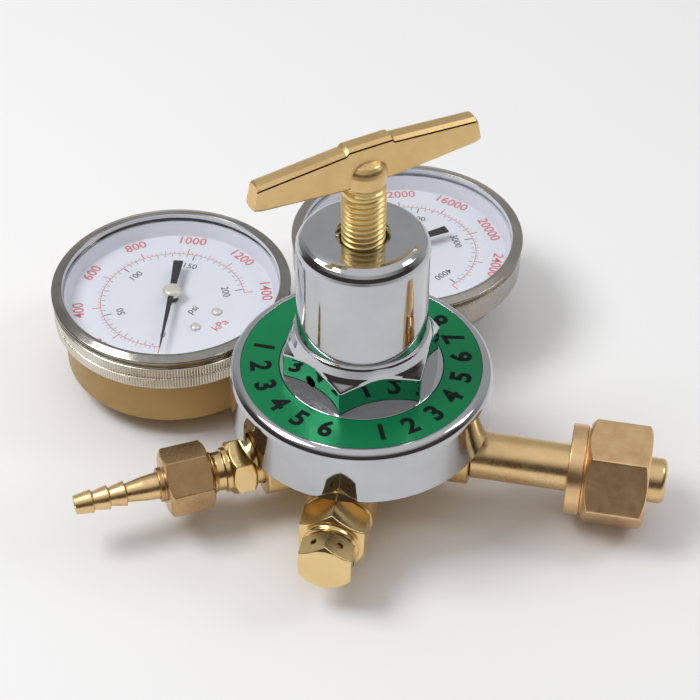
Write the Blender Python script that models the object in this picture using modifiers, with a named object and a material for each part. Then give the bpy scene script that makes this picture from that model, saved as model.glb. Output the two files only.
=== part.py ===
"""Gas regulator: forged brass body, chrome bonnet with a T-handle screw, two dial gauges,
an inlet stem with its nut, a hose outlet and a relief valve. Metres, +Z up.

The origin is the centre of the body's flat rear face. +Z runs along the adjusting screw,
+X along the inlet, and the five ports lie in one plane at PORT_HEIGHT.
"""
import math

import bmesh
import bpy
from mathutils import Matrix, Vector

# ---------------------------------------------------------------- driving dimensions (metres)
GAP = 0.0003                    # clearance between touching pieces
PORT_HEIGHT = 0.0170            # port plane above the rear face
PORT_REACH = 0.0330             # port faces, from the screw axis
OUTLET_REACH = 0.0310           # the outlet's port face, which leaves some thread showing
BOSS_RADIUS = 0.0098
INLET_BOSS_RADIUS = 0.0090
SOCKET_RADIUS = 0.0066          # 1/4 inch pipe sockets in the body
THREAD_RADIUS = 0.0063          # the male threads that go into them
SOCKET_DEPTH = 0.0130

INLET_ANGLE = 0.0
HIGH_GAUGE_ANGLE = 90.0
LOW_GAUGE_ANGLE = 150.0
OUTLET_ANGLE = 210.0
RELIEF_ANGLE = 270.0

HUB_RADIUS = 0.0205
REAR_RADIUS = 0.0110            # the small flat boss behind the hub
RIM_RADIUS = 0.0334
RIM_TOP = 0.0360
DISH_RADIUS = 0.0280
DISH_FLOOR = 0.0300
CHAMBER_RADIUS = 0.0070         # high-pressure chamber under the seat
CHAMBER_FLOOR = 0.0090

FLANGE_RADIUS = 0.0373
FLANGE_BOTTOM = 0.0283
LABEL_FLOOR = 0.0464
LABEL_TOP = 0.0470
LABEL_INNER = 0.0232
LABEL_OUTER = 0.0341
HEX_FLATS = 0.0390
HEX_BASE = 0.0466
HEX_TOP = 0.0575
HEX_TURN = 26.0                 # a hex corner's angle from the inlet
TOWER_RADIUS = 0.0182
TOWER_TOP = 0.0934
SPRING_BORE = 0.0145

SCREW_RADIUS = 0.0060
SCREW_TIP = 0.0795
SCREW_TOP = 0.1137
SPIGOT_RADIUS = 0.0033          # the screw's end, pressed into the handle
BUTTON_BOTTOM = 0.0760
BUTTON_TOP = 0.0790
BAR_LEFT, BAR_RIGHT = -0.0314, 0.0325     # the ends of its top edge
BAR_DRAFT = 0.0014              # each end leans out this much from top to bottom
BAR_ANGLE = 39.9
NECK_RADIUS = 0.0059
NECK_BOTTOM = 0.1106
NECK_TOP = 0.1188
INLET_NUT_FLATS = 0.0274
INLET_NUT_START = 0.0612
INLET_NUT_HEX = 0.0663
INLET_NUT_END = 0.0840
NOSE_END = 0.0891
INLET_NUT_TURN = 33.0
OUTLET_BUSHING_TURN = 14.0
OUTLET_NUT_TURN = -13.0
BARB_END = 0.0853
BARB_PITCH = 0.0048

GAUGE_DISTANCE = 0.0774
CASE_RADIUS = 0.0341
CASE_BACK = 0.0062
BOWL_BACK = 0.0078
CASE_TOP = 0.0294
CASE_WALL = 0.0009
BEZEL_RADIUS = 0.0369
BEZEL_TOP = 0.0340
BEZEL_BOTTOM = 0.0224
BAND_RADIUS = 0.0366            # the bezel's grip band
LENS_SEAT = 0.0309
STEM_NECK_RADIUS = 0.0050
WINDOW_RADIUS = 0.0334
DIAL_PLANE = 0.0263
DIAL_RIM = 0.0305               # the dial is a shallow pan with a sloping wall
POINTER_PLANE = 0.0298
POINTER_ANGLE = 217.3           # in the gauge's own frame, clockwise from here to full scale
DIAL_SCREW_X = 0.0047
DIAL_SCREW_Y = -0.0146

# facets round a turned piece: the case and bonnet, fittings, small pieces, and wires and pins
LARGE = 32
MEDIUM = 20
SMALL = 12
TINY = 8
SMOOTH_ANGLE = math.radians(35)


# ---------------------------------------------------------------- scene and materials
def clear_scene():
    for old in list(bpy.data.objects):
        bpy.data.objects.remove(old, do_unlink=True)


def collection(name):
    made = bpy.data.collections.new(name)
    bpy.context.scene.collection.children.link(made)
    return made


clear_scene()
PARTS = collection("gas_regulator")
CUTTERS = collection("cutters")


def material(name, colour, roughness, metallic):
    made = bpy.data.materials.new(name)
    made.use_nodes = True
    shader = made.node_tree.nodes["Principled BSDF"]
    shader.inputs["Base Color"].default_value = (*colour, 1.0)
    shader.inputs["Roughness"].default_value = roughness
    shader.inputs["Metallic"].default_value = metallic
    return made


FINISHES = {
    "brass": ((0.80, 0.58, 0.25), 0.25, 1.0),
    "chrome": ((0.86, 0.87, 0.88), 0.08, 1.0),
    "nickel": ((0.62, 0.60, 0.55), 0.30, 1.0),
    "steel": ((0.55, 0.56, 0.58), 0.35, 1.0),
    "ochre": ((0.55, 0.42, 0.16), 0.45, 0.3),
    "green": ((0.06, 0.40, 0.20), 0.40, 0.0),
    "white": ((0.90, 0.91, 0.92), 0.55, 0.0),
    "black": ((0.02, 0.02, 0.02), 0.45, 0.0),
    "rubber": ((0.04, 0.04, 0.04), 0.80, 0.0),
    "glass": ((0.95, 0.97, 0.98), 0.05, 0.0),
}


def finish(name, kind):
    colour, roughness, metallic = FINISHES[kind]
    return material(name + "_" + kind, colour, roughness, metallic)


# ---------------------------------------------------------------- modelling helpers
def place(obj, group):
    for old in list(obj.users_collection):
        old.objects.unlink(obj)
    group.objects.link(obj)
    if group is CUTTERS:
        obj.hide_render = True
        obj.display_type = "WIRE"
    return obj


def smooth(mesh):
    mesh.shade_smooth()
    mesh.set_sharp_from_angle(angle=SMOOTH_ANGLE)


def object_from(bm, name, group):
    mesh = bpy.data.meshes.new(name)
    bm.to_mesh(mesh)
    bm.free()
    smooth(mesh)
    obj = bpy.data.objects.new(name, mesh)
    return place(obj, group)


def turned(name, profile, group, steps=LARGE, closed=False):
    """A turned solid about its own Z. The profile (radius, height) runs down the outer side,
    top to bottom, and an open one starts and ends on the axis."""
    bm = bmesh.new()
    points = [bm.verts.new((radius, 0.0, height)) for radius, height in profile]
    for first, second in zip(points, points[1:]):
        bm.edges.new((first, second))
    if closed:
        bm.edges.new((points[-1], points[0]))
    obj = object_from(bm, name, group)
    screw = obj.modifiers.new("Turn", "SCREW")
    screw.axis = "Z"
    screw.angle = math.tau
    screw.steps = steps
    screw.render_steps = steps
    screw.use_merge_vertices = True
    screw.merge_threshold = 0.00001
    screw.use_smooth_shade = True
    return obj


def disc(name, radius, low, high, group, steps=MEDIUM):
    return turned(name, [(0, high), (radius, high), (radius, low), (0, low)], group, steps)


def ring(name, inner, outer, low, high, group, steps=LARGE):
    profile = [(inner, high), (outer, high), (outer, low), (inner, low)]
    return turned(name, profile, group, steps, closed=True)


def prism(name, sides, flats, low, high, group, turn=0.0):
    """A regular prism about Z, with its first corner at the angle turn (degrees)."""
    corner = flats / 2 / math.cos(math.pi / sides)
    bm = bmesh.new()
    bmesh.ops.create_cone(bm, cap_ends=True, segments=sides, radius1=corner, radius2=corner,
                          depth=high - low)
    # create_cone puts its first corner on +Y
    bmesh.ops.rotate(bm, verts=bm.verts, matrix=Matrix.Rotation(math.radians(turn - 90), 3, "Z"))
    bmesh.ops.translate(bm, verts=bm.verts, vec=(0, 0, (low + high) / 2))
    return object_from(bm, name, group)


def box(name, low, high, group):
    bm = bmesh.new()
    bmesh.ops.create_cube(bm, size=1.0)
    size = Vector(high) - Vector(low)
    bmesh.ops.scale(bm, verts=bm.verts, vec=size)
    bmesh.ops.translate(bm, verts=bm.verts, vec=(Vector(low) + Vector(high)) / 2)
    return object_from(bm, name, group)


def combine(obj, other, operation):
    step = obj.modifiers.new(operation.title(), "BOOLEAN")
    step.operation = operation
    step.object = other
    step.solver = "EXACT"
    return obj


def cut(obj, *cutters):
    for cutter in cutters:
        combine(obj, cutter, "DIFFERENCE")
    return obj


def join(obj, *others):
    for other in others:
        combine(obj, other, "UNION")
    return obj


def chamfered_hex(name, flats, low, high, group, turn=0.0, slope=0.5, low_chamfer=True,
                  high_chamfer=True):
    """A hexagon whose corners are turned off to a cone at one or both ends."""
    solid = prism(name, 6, flats, low, high, group, turn)
    corner = flats / 2 / math.cos(math.pi / 6) + 0.0002
    inner = flats / 2 * 0.985
    drop = (corner - inner) * slope
    profile = [(0, high), (inner, high), (corner, high - drop)] if high_chamfer else \
        [(0, high + GAP), (corner, high + GAP)]
    profile += [(corner, low + drop), (inner, low), (0, low)] if low_chamfer else \
        [(corner, low - GAP), (0, low - GAP)]
    blank = turned(name + "_blank", profile, CUTTERS, steps=MEDIUM)
    combine(solid, blank, "INTERSECT")
    return solid, blank


def port_matrix(angle, roll=0.0):
    """Places a piece modelled along its own +Z on the port axis at the angle: its Z runs outwards
    from the screw axis, and its own +X points down."""
    outwards = Matrix.Rotation(math.radians(angle), 4, "Z")
    lay_down = Matrix.Rotation(math.radians(90), 4, "Y")
    return (Matrix.Translation((0, 0, PORT_HEIGHT)) @ outwards @ lay_down
            @ Matrix.Rotation(math.radians(roll), 4, "Z"))


def stand(matrix, *objects):
    for obj in objects:
        obj.matrix_world = matrix
    return objects[0]


def curve_mesh(name, curve, group, matrix=None):
    """The solid of a bevelled curve, as a welded mesh object."""
    carrier = bpy.data.objects.new(name + "_curve", curve)
    bpy.context.scene.collection.objects.link(carrier)
    if matrix is not None:
        carrier.matrix_world = matrix
    bpy.context.view_layer.update()
    evaluated = carrier.evaluated_get(bpy.context.evaluated_depsgraph_get())
    mesh = bpy.data.meshes.new_from_object(evaluated)
    mesh.name = name
    bm = bmesh.new()
    bm.from_mesh(mesh)
    bmesh.ops.remove_doubles(bm, verts=bm.verts, dist=0.000005)
    bmesh.ops.recalc_face_normals(bm, faces=bm.faces)
    bm.to_mesh(mesh)
    bm.free()
    mesh.materials.clear()
    smooth(mesh)
    obj = bpy.data.objects.new(name, mesh)
    place(obj, group)
    obj.matrix_world = carrier.matrix_world.copy()
    bpy.data.objects.remove(carrier, do_unlink=True)
    return obj


def poly_tube(name, points, radius, group, matrix=None, cyclic=False):
    curve = bpy.data.curves.new(name, "CURVE")
    curve.dimensions = "3D"
    spline = curve.splines.new("POLY")
    spline.points.add(len(points) - 1)
    for slot, point in zip(spline.points, points):
        slot.co = (*point, 1.0)
    spline.use_cyclic_u = cyclic
    curve.bevel_depth = radius
    curve.bevel_resolution = 2
    curve.use_fill_caps = True
    return curve_mesh(name, curve, group, matrix)


def outline(name, points, half_thickness, group, matrix=None):
    """A flat plate: a closed outline in its own XY plane, filled and extruded both ways."""
    curve = bpy.data.curves.new(name, "CURVE")
    curve.dimensions = "2D"
    curve.fill_mode = "BOTH"
    curve.extrude = half_thickness
    spline = curve.splines.new("POLY")
    spline.points.add(len(points) - 1)
    for slot, (x, y) in zip(spline.points, points):
        slot.co = (x, y, 0.0, 1.0)
    spline.use_cyclic_u = True
    return curve_mesh(name, curve, group, matrix)


def arc(centre, radius, start, end, steps):
    """Points on an arc about (x, y), from one angle to the other in degrees."""
    made = []
    for index in range(steps + 1):
        angle = math.radians(start + (end - start) * index / steps)
        made.append((centre[0] + radius * math.cos(angle), centre[1] + radius * math.sin(angle)))
    return made


def coil(radius, low, high, turns, per_turn=TINY, dead_turns=0.75):
    """Points up a spring's wire, with nearly closed turns at both ends."""
    count = int(turns * per_turn)
    wire_rise = (high - low) / (turns - 2 * dead_turns + 0.5)
    made = []
    for index in range(count + 1):
        turn = index / per_turn
        live = min(max(turn - dead_turns, 0.0), turns - 2 * dead_turns)
        slack = 0.25 * (min(turn, dead_turns) + max(turn - (turns - dead_turns), 0.0)) / dead_turns
        angle = math.tau * turn
        made.append((radius * math.cos(angle), radius * math.sin(angle),
                     low + wire_rise * (live + slack)))
    return made


def give(obj, kind):
    obj.data.materials.clear()
    obj.data.materials.append(finish(obj.name, kind))
    return obj


# ---------------------------------------------------------------- body and bonnet
def regulator_body():
    outside = [(0, RIM_TOP), (RIM_RADIUS, RIM_TOP), (RIM_RADIUS, 0.0292), (0.0305, 0.0275),
               (0.0235, 0.0245), (HUB_RADIUS, 0.0220), (HUB_RADIUS, 0.0130), (0.0190, 0.0090),
               (0.0155, 0.0060), (REAR_RADIUS, 0.0045), (REAR_RADIUS, 0.0005),
               (REAR_RADIUS - 0.0005, 0.0), (0, 0.0)]
    body = turned("regulator_body", outside, PARTS, steps=LARGE)
    for angle in (INLET_ANGLE, HIGH_GAUGE_ANGLE, LOW_GAUGE_ANGLE, OUTLET_ANGLE, RELIEF_ANGLE):
        radius = INLET_BOSS_RADIUS if angle == INLET_ANGLE else BOSS_RADIUS
        reach = OUTLET_REACH if angle == OUTLET_ANGLE else PORT_REACH
        tip = [(0, reach), (radius - 0.0008, reach), (radius, reach - 0.0008),
               (radius, 0.010), (0, 0.010)]
        boss = turned("boss_%d" % angle, tip, CUTTERS, steps=MEDIUM)
        join(body, stand(port_matrix(angle), boss))
    cut(body, dish_cutter())
    for angle in (INLET_ANGLE, HIGH_GAUGE_ANGLE, LOW_GAUGE_ANGLE, OUTLET_ANGLE, RELIEF_ANGLE):
        socket_floor = PORT_REACH - SOCKET_DEPTH
        high_pressure = angle in (INLET_ANGLE, HIGH_GAUGE_ANGLE)
        inner_end = 0.002 if high_pressure else 0.0195
        bore = [(0, PORT_REACH + 0.002), (SOCKET_RADIUS, PORT_REACH + 0.002),
                (SOCKET_RADIUS, socket_floor), (0.0020, socket_floor - 0.001),
                (0.0020, inner_end), (0, inner_end)]
        socket = turned("socket_%d" % angle, bore, CUTTERS, steps=SMALL)
        cut(body, stand(port_matrix(angle), socket))
        if not high_pressure:
            drill = disc("drill_%d" % angle, 0.0016, PORT_HEIGHT, 0.0320, CUTTERS, steps=TINY)
            turn = Matrix.Rotation(math.radians(angle), 4, "Z")
            cut(body, stand(turn @ Matrix.Translation((0.0220, 0, 0)), drill))
    return give(body, "brass")


def dish_cutter():
    profile = [(0, RIM_TOP + 0.002), (DISH_RADIUS, RIM_TOP + 0.002), (DISH_RADIUS, 0.0330),
               (0.0250, DISH_FLOOR), (CHAMBER_RADIUS, DISH_FLOOR),
               (CHAMBER_RADIUS, CHAMBER_FLOOR), (0, CHAMBER_FLOOR)]
    return turned("dish", profile, CUTTERS, steps=LARGE)


def bonnet():
    fillet = [(0.0137 + 0.0045 * math.sin(a), 0.0889 + 0.0045 * math.cos(a))
              for a in (math.radians(30 * k) for k in range(0, 4))]
    shoulder = [(0.0351 + 0.0022 * math.sin(a), 0.0451 + 0.0022 * math.cos(a))
                for a in (math.radians(30 * k) for k in range(0, 4))]
    outside = [(0, TOWER_TOP)] + fillet
    outside += [(TOWER_RADIUS, 0.0621), (0.0189, 0.0614), (0.0190, 0.0500), (0.0190, LABEL_TOP),
                (LABEL_INNER, LABEL_TOP), (LABEL_INNER, LABEL_FLOOR), (0.0344, LABEL_FLOOR)]
    outside += shoulder
    outside += [(FLANGE_RADIUS, 0.0290), (0.0366, FLANGE_BOTTOM), (0, FLANGE_BOTTOM)]
    shell = turned("bonnet", outside, PARTS, steps=LARGE)
    hexagon, blank = chamfered_hex("bonnet_hex", HEX_FLATS, HEX_BASE, HEX_TOP, CUTTERS,
                                   turn=HEX_TURN, slope=0.70, low_chamfer=False)
    join(shell, hexagon)
    inside = [(0, TOWER_TOP + 0.001), (0.0086, TOWER_TOP + 0.001), (SCREW_RADIUS + GAP, 0.0921),
              (SCREW_RADIUS + GAP, 0.0818), (SPRING_BORE, 0.0800), (SPRING_BORE, 0.0480),
              (0.0260, 0.0425), (0.0300, 0.0410), (0.0300, 0.0387),
              (RIM_RADIUS + GAP, 0.0387), (RIM_RADIUS + GAP, FLANGE_BOTTOM - 0.001),
              (0, FLANGE_BOTTOM - 0.001)]
    cut(shell, turned("bonnet_inside", inside, CUTTERS, steps=LARGE))
    vent = disc("vent", 0.0018, 0.0120, 0.0260, CUTTERS, steps=TINY)
    to_side = (Matrix.Translation((0, 0, 0.0525))
               @ Matrix.Rotation(math.radians(HEX_TURN - 150), 4, "Z")
               @ Matrix.Rotation(math.radians(90), 4, "Y"))
    cut(shell, stand(to_side, vent))
    return give(shell, "chrome")


def label_ring():
    return give(ring("label_ring", LABEL_INNER + GAP, LABEL_OUTER, LABEL_FLOOR + GAP,
                     LABEL_TOP, PARTS, steps=LARGE), "green")


# ---------------------------------------------------------------- adjusting screw and handle
def adjusting_screw():
    profile = [(0, SCREW_TOP), (SPIGOT_RADIUS, SCREW_TOP), (SPIGOT_RADIUS, NECK_BOTTOM - GAP),
               (0.0054, NECK_BOTTOM - GAP), (0.0054, 0.1102), (0.0050, 0.1100), (0.0050, 0.1092),
               (SCREW_RADIUS, 0.1086), (SCREW_RADIUS, 0.0825), (0.0050, 0.0815),
               (0.0020, SCREW_TIP), (0, SCREW_TIP)]
    return give(turned("adjusting_screw", profile, PARTS, steps=MEDIUM), "brass")


def drafted_bar(name, stations, group, matrix):
    """A bar along its own X. Each station holds the place along the bar, the height and the half
    width of its lower edge, and then the same three for its upper edge."""
    bm = bmesh.new()
    rings = []
    for low_x, low_z, low_half, high_x, high_z, high_half in stations:
        rings.append([bm.verts.new(spot) for spot in (
            (low_x, -low_half, low_z), (low_x, low_half, low_z),
            (high_x, high_half, high_z), (high_x, -high_half, high_z))])
    for first, second in zip(rings, rings[1:]):
        for side in range(4):
            after = (side + 1) % 4
            bm.faces.new((first[side], first[after], second[after], second[side]))
    bm.faces.new(rings[0])
    bm.faces.new(list(reversed(rings[-1])))
    bmesh.ops.recalc_face_normals(bm, faces=bm.faces)
    return stand(matrix, object_from(bm, name, group))


def t_handle():
    """The cast cross bar, deeper in the middle, with a raised pad on top and a round domed neck
    that takes the screw's end."""
    turn = Matrix.Rotation(math.radians(BAR_ANGLE), 4, "Z")
    bar = [(BAR_LEFT - BAR_DRAFT, 0.1137, 0.0028, BAR_LEFT, 0.1209, 0.0026),
           (-0.0080, 0.1127, 0.0030, -0.0080, 0.1224, 0.0026),
           (0.0080, 0.1127, 0.0030, 0.0080, 0.1224, 0.0026),
           (BAR_RIGHT + BAR_DRAFT, 0.1137, 0.0028, BAR_RIGHT, 0.1209, 0.0026)]
    handle = drafted_bar("t_handle", bar, PARTS, turn)
    pad = [(-0.0074, 0.1200, 0.0022, -0.0067, 0.1233, 0.0020),
           (0.0074, 0.1200, 0.0022, 0.0067, 0.1233, 0.0020)]
    join(handle, drafted_bar("handle_pad", pad, CUTTERS, turn))
    edge = handle.modifiers.new("Edge", "BEVEL")
    edge.width = 0.0003
    edge.segments = 1
    edge.limit_method = "ANGLE"
    edge.angle_limit = math.radians(50)
    dome = [(0, NECK_TOP), (0.0028, NECK_TOP - 0.0005), (0.0043, NECK_TOP - 0.0014),
            (0.0053, NECK_TOP - 0.0026), (0.0058, NECK_TOP - 0.0042),
            (NECK_RADIUS, NECK_TOP - 0.0058), (NECK_RADIUS, NECK_BOTTOM), (0, NECK_BOTTOM)]
    join(handle, turned("neck", dome, CUTTERS, steps=MEDIUM))
    bore = disc("neck_bore", SPIGOT_RADIUS + GAP, NECK_BOTTOM - 0.0010, SCREW_TOP + GAP, CUTTERS,
                steps=MEDIUM)
    return give(cut(handle, bore), "brass")


def spring_button():
    profile = [(0, 0.0774), (0.0030, BUTTON_TOP), (0.0120, BUTTON_TOP), (0.0120, 0.0772),
               (0.0110, BUTTON_BOTTOM + GAP), (0.0088, BUTTON_BOTTOM + GAP),
               (0.0080, 0.0735), (0, 0.0735)]
    return give(turned("spring_button", profile, PARTS, steps=MEDIUM), "steel")


def range_spring():
    wire = 0.0018
    points = coil(0.0108, 0.0401 + GAP + wire, BUTTON_BOTTOM - wire, 6.5)
    return give(poly_tube("range_spring", points, wire, PARTS), "steel")


# ---------------------------------------------------------------- diaphragm and seat
def diaphragm_parts():
    plate = [(0, 0.0425), (0.0082, 0.0425), (0.0086, 0.0401), (0.0235, 0.0401),
             (0.0235, 0.0376), (0, 0.0376)]
    give(turned("diaphragm_plate", plate, PARTS, steps=LARGE), "steel")
    rubber = [(0, 0.0373), (0.0333, 0.0373), (0.0333, 0.0363), (0.0275, 0.0363),
              (0.0262, 0.0357), (0.0249, 0.0363), (0, 0.0363)]
    give(turned("diaphragm", rubber, PARTS, steps=LARGE), "rubber")
    give(ring("slip_ring", 0.0280, 0.0333, 0.0376, 0.0384, PARTS, steps=LARGE), "steel")


def seat_parts():
    nozzle = [(0.0018, 0.0325), (0.0078, 0.0325), (0.0084, 0.0319), (0.0084, DISH_FLOOR + GAP),
              (0.0067, DISH_FLOOR + GAP), (0.0067, 0.0235), (0.0030, 0.0220), (0.0018, 0.0220)]
    give(turned("valve_nozzle", nozzle, PARTS, steps=MEDIUM, closed=True), "brass")
    poppet = [(0, 0.0360), (0.0010, 0.0360), (0.0010, 0.0217), (0.0040, 0.0217),
              (0.0040, 0.0180), (0.0022, 0.0180), (0.0022, 0.0140), (0, 0.0140)]
    give(turned("valve_poppet", poppet, PARTS, steps=SMALL), "brass")
    wire = 0.00045
    points = coil(0.0031, CHAMBER_FLOOR + GAP + wire, 0.0180 - GAP - wire, 4.5)
    give(poly_tube("valve_spring", points, wire, PARTS), "steel")


# ---------------------------------------------------------------- inlet
def inlet_parts():
    """The stem, its nut, and the filter in its nose. The stem's shoulder is inside the nut."""
    at = port_matrix(INLET_ANGLE)
    bore = 0.0025
    nose = [(0.0065 - 0.0030 * (1 - math.cos(a)), NOSE_END - 0.0030 * (1 - math.sin(a)))
            for a in (math.radians(30 * k) for k in range(2, -1, -1))]
    stem = [(0.0031, NOSE_END)] + nose + \
        [(0.0066, 0.0800), (0.0098, 0.0765), (0.0098, 0.0730), (0.0069, 0.0725),
         (0.0069, PORT_REACH + GAP), (THREAD_RADIUS, PORT_REACH + GAP),
         (THREAD_RADIUS, 0.0205), (bore, 0.0205), (bore, 0.0830), (0.0031, 0.0832)]
    nipple = turned("inlet_nipple", stem, PARTS, steps=MEDIUM, closed=True)
    give(stand(at, nipple), "brass")
    plug = turned("inlet_filter", [(0, 0.0880), (0.0018, 0.0877), (0.0027, 0.0868),
                                   (0.0027, 0.0836), (0, 0.0836)], PARTS, steps=SMALL)
    give(stand(at, plug), "brass")
    give(inlet_nut(at), "brass")


def inlet_nut(at):
    turn = Matrix.Rotation(math.radians(INLET_NUT_TURN), 4, "Z")
    inner = INLET_NUT_HEX + 0.0020
    collar = [(0, inner), (0.0123, inner), (0.0123, 0.0656), (0.0131, 0.0652),
              (0.0131, INLET_NUT_START + 0.0005), (0.0126, INLET_NUT_START),
              (0, INLET_NUT_START)]
    nut = turned("inlet_nut", collar, PARTS, steps=LARGE)
    hexagon, blank = chamfered_hex("inlet_nut_hex", INLET_NUT_FLATS, INLET_NUT_HEX, INLET_NUT_END,
                                   CUTTERS)
    stand(at @ turn, nut, hexagon, blank)
    join(nut, hexagon)
    inside = [(0, INLET_NUT_END + 0.0010), (0.0119, INLET_NUT_END + 0.0010),
              (0.0112, INLET_NUT_END - 0.0008), (0.0112, 0.0690), (0.0105, 0.0680),
              (0.0073, 0.0680), (0.0073, INLET_NUT_START - 0.0010),
              (0, INLET_NUT_START - 0.0010)]
    return cut(nut, stand(at @ turn, turned("inlet_nut_inside", inside, CUTTERS, steps=MEDIUM)))


# ---------------------------------------------------------------- outlet
def outlet_parts():
    at = port_matrix(OUTLET_ANGLE, OUTLET_BUSHING_TURN)
    thread = [(0, 0.0525), (0.0046, 0.0525), (0.0062, 0.0505), (0.0062, 0.0410), (0.0066, 0.0404),
              (0.0066, PORT_REACH + GAP), (THREAD_RADIUS, PORT_REACH + GAP),
              (THREAD_RADIUS, 0.0205), (0, 0.0205)]
    bushing = turned("outlet_bushing", thread, PARTS, steps=MEDIUM)
    hexagon, blank = chamfered_hex("outlet_bushing_hex", 0.0150, 0.0333, 0.0405, CUTTERS)
    bore = disc("outlet_bore", 0.0022, 0.0195, 0.0535, CUTTERS, steps=SMALL)
    stand(at, bushing, hexagon, blank, bore)
    join(bushing, hexagon)
    give(cut(bushing, bore), "brass")

    nut, blank = chamfered_hex("outlet_nut", 0.0175, 0.0462, 0.0593, PARTS)
    neck = disc("outlet_nut_neck", 0.0050, 0.0585, 0.0612, CUTTERS, steps=MEDIUM)
    inside = [(0, 0.0622), (0.0041, 0.0622), (0.0041, 0.0572), (0.0066, 0.0562),
              (0.0066, 0.0452), (0, 0.0452)]
    hollow = turned("outlet_nut_inside", inside, CUTTERS, steps=MEDIUM)
    stand(port_matrix(OUTLET_ANGLE, OUTLET_NUT_TURN), nut, blank, neck, hollow)
    give(cut(join(nut, neck), hollow), "brass")
    give(stand(at, hose_barb()), "brass")


def hose_barb():
    """A gland inside the nut, a smooth neck and three barbs, each a short cone and a step."""
    outside = [(0.0014, BARB_END), (0.0026, BARB_END)]
    for index, peak in enumerate((0.0034, 0.0035, 0.0036)):
        step = BARB_END - 0.0048 - BARB_PITCH * index
        outside += [(peak, step), (0.0027, step - 0.0004)]
    outside += [(0.0037, 0.0630), (0.0038, 0.0569), (0.0062, 0.0559),
                (0.0062, 0.0532), (0.0014, 0.0528)]
    return turned("hose_barb", outside, PARTS, steps=MEDIUM, closed=True)


# ---------------------------------------------------------------- relief valve
def relief_parts():
    at = port_matrix(RELIEF_ANGLE)
    seat = [(0, 0.0485), (0.0053, 0.0485), (0.0053, 0.0445), (0.0075, 0.0440), (0.0075, 0.0425),
            (0.0080, 0.0333), (THREAD_RADIUS, 0.0330), (THREAD_RADIUS, 0.0205), (0, 0.0205)]
    valve = turned("relief_body", seat, PARTS, steps=MEDIUM)
    hexagon, blank = chamfered_hex("relief_body_hex", 0.0185, 0.0333, 0.0428, CUTTERS)
    inside = [(0, 0.0500), (0.0039, 0.0500), (0.0039, 0.0285), (0.0015, 0.0270), (0.0015, 0.0195),
              (0, 0.0195)]
    hollow = turned("relief_inside", inside, CUTTERS, steps=SMALL)
    stand(at, valve, hexagon, blank, hollow)
    give(cut(join(valve, hexagon), hollow), "brass")

    cap, blank = chamfered_hex("relief_cap", 0.0148, 0.0448, 0.0522, PARTS)
    socket = disc("relief_cap_inside", 0.0056, 0.0438, 0.0506, CUTTERS, steps=MEDIUM)
    stand(at, cap, blank, socket)
    cut(cap, socket)
    for side in range(3):
        hole = disc("relief_vent_%d" % side, 0.0008, -0.0120, 0.0120, CUTTERS, steps=TINY)
        across = (Matrix.Translation((0, 0, 0.0495))
                  @ Matrix.Rotation(math.radians(30 + 60 * side), 4, "Z")
                  @ Matrix.Rotation(math.radians(90), 4, "Y"))
        cut(cap, stand(at @ across, hole))
    give(cap, "brass")

    poppet = [(0, 0.0400), (0.0012, 0.0400), (0.0012, 0.0312), (0.0035, 0.0312),
              (0.0035, 0.0290), (0, 0.0290)]
    give(stand(at, turned("relief_poppet", poppet, PARTS, steps=SMALL)), "steel")
    wire = 0.00045
    points = coil(0.0026, 0.0312 + GAP + wire, 0.0506 - GAP - wire, 6.5)
    give(poly_tube("relief_spring", points, wire, PARTS, at), "steel")


# ---------------------------------------------------------------- gauges
def gauge_matrix(angle):
    """The gauge's own frame: its centre on Z, and its stem along -Y, towards the body."""
    turn = math.radians(angle)
    centre = (GAUGE_DISTANCE * math.cos(turn), GAUGE_DISTANCE * math.sin(turn), 0)
    return Matrix.Translation(centre) @ Matrix.Rotation(turn - math.radians(90), 4, "Z")


def gauge_case(prefix, at, knurled):
    """A thin cup: a plain can behind the knurled front, or a bowl behind the plain one."""
    can = [(CASE_RADIUS, CASE_BACK + 0.0015), (CASE_RADIUS - 0.0015, CASE_BACK)]
    bowl = [(CASE_RADIUS, 0.0205), (0.0325, 0.0165), (0.0295, 0.0128), (0.0250, 0.0098),
            (0.0195, BOWL_BACK)]
    back = can if knurled else bowl
    inside = [(radius - CASE_WALL, height + CASE_WALL * 0.8) for radius, height in back]
    profile = [(CASE_RADIUS, CASE_TOP)] + back + [(0.0, back[-1][1]), (0.0, inside[-1][1])]
    profile += list(reversed(inside)) + [(CASE_RADIUS - CASE_WALL, CASE_TOP)]
    case = stand(at, turned(prefix + "case", profile, PARTS, steps=LARGE, closed=True))
    # the wall's hole for the stem
    hole = disc(prefix + "case_hole", STEM_NECK_RADIUS + 0.0004, 0.0240, 0.0380, CUTTERS, SMALL)
    stand(at @ stem_matrix(), hole)
    return give(cut(case, hole), "ochre" if knurled else "nickel")


def stem_matrix():
    """From the gauge's frame: a piece along its own +Z runs along -Y at port height."""
    return Matrix.Translation((0, 0, PORT_HEIGHT)) @ Matrix.Rotation(math.radians(90), 4, "X")


def gauge_socket(prefix, at):
    body_side = GAUGE_DISTANCE - PORT_REACH
    stem = [(0, GAUGE_DISTANCE - 0.0205), (THREAD_RADIUS, GAUGE_DISTANCE - 0.0205),
            (THREAD_RADIUS, body_side - GAP), (STEM_NECK_RADIUS, body_side - 0.0010),
            (STEM_NECK_RADIUS, 0.0255), (0, 0.0255)]
    socket = turned(prefix + "socket", stem, PARTS, steps=SMALL)
    flats, blank = chamfered_hex(prefix + "socket_flats", 0.0138, 0.0374, body_side - 0.0008,
                                 CUTTERS)
    bore = disc(prefix + "socket_bore", 0.0012, 0.0225, 0.0600, CUTTERS, steps=TINY)
    stand(at @ stem_matrix(), socket, flats, blank, bore)
    block = box(prefix + "socket_block", (-0.0055, -0.0262, 0.0135), (0.0055, -0.0197, 0.0212),
                CUTTERS)
    stand(at, block)
    return give(cut(join(socket, flats, block), bore), "brass")


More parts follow.
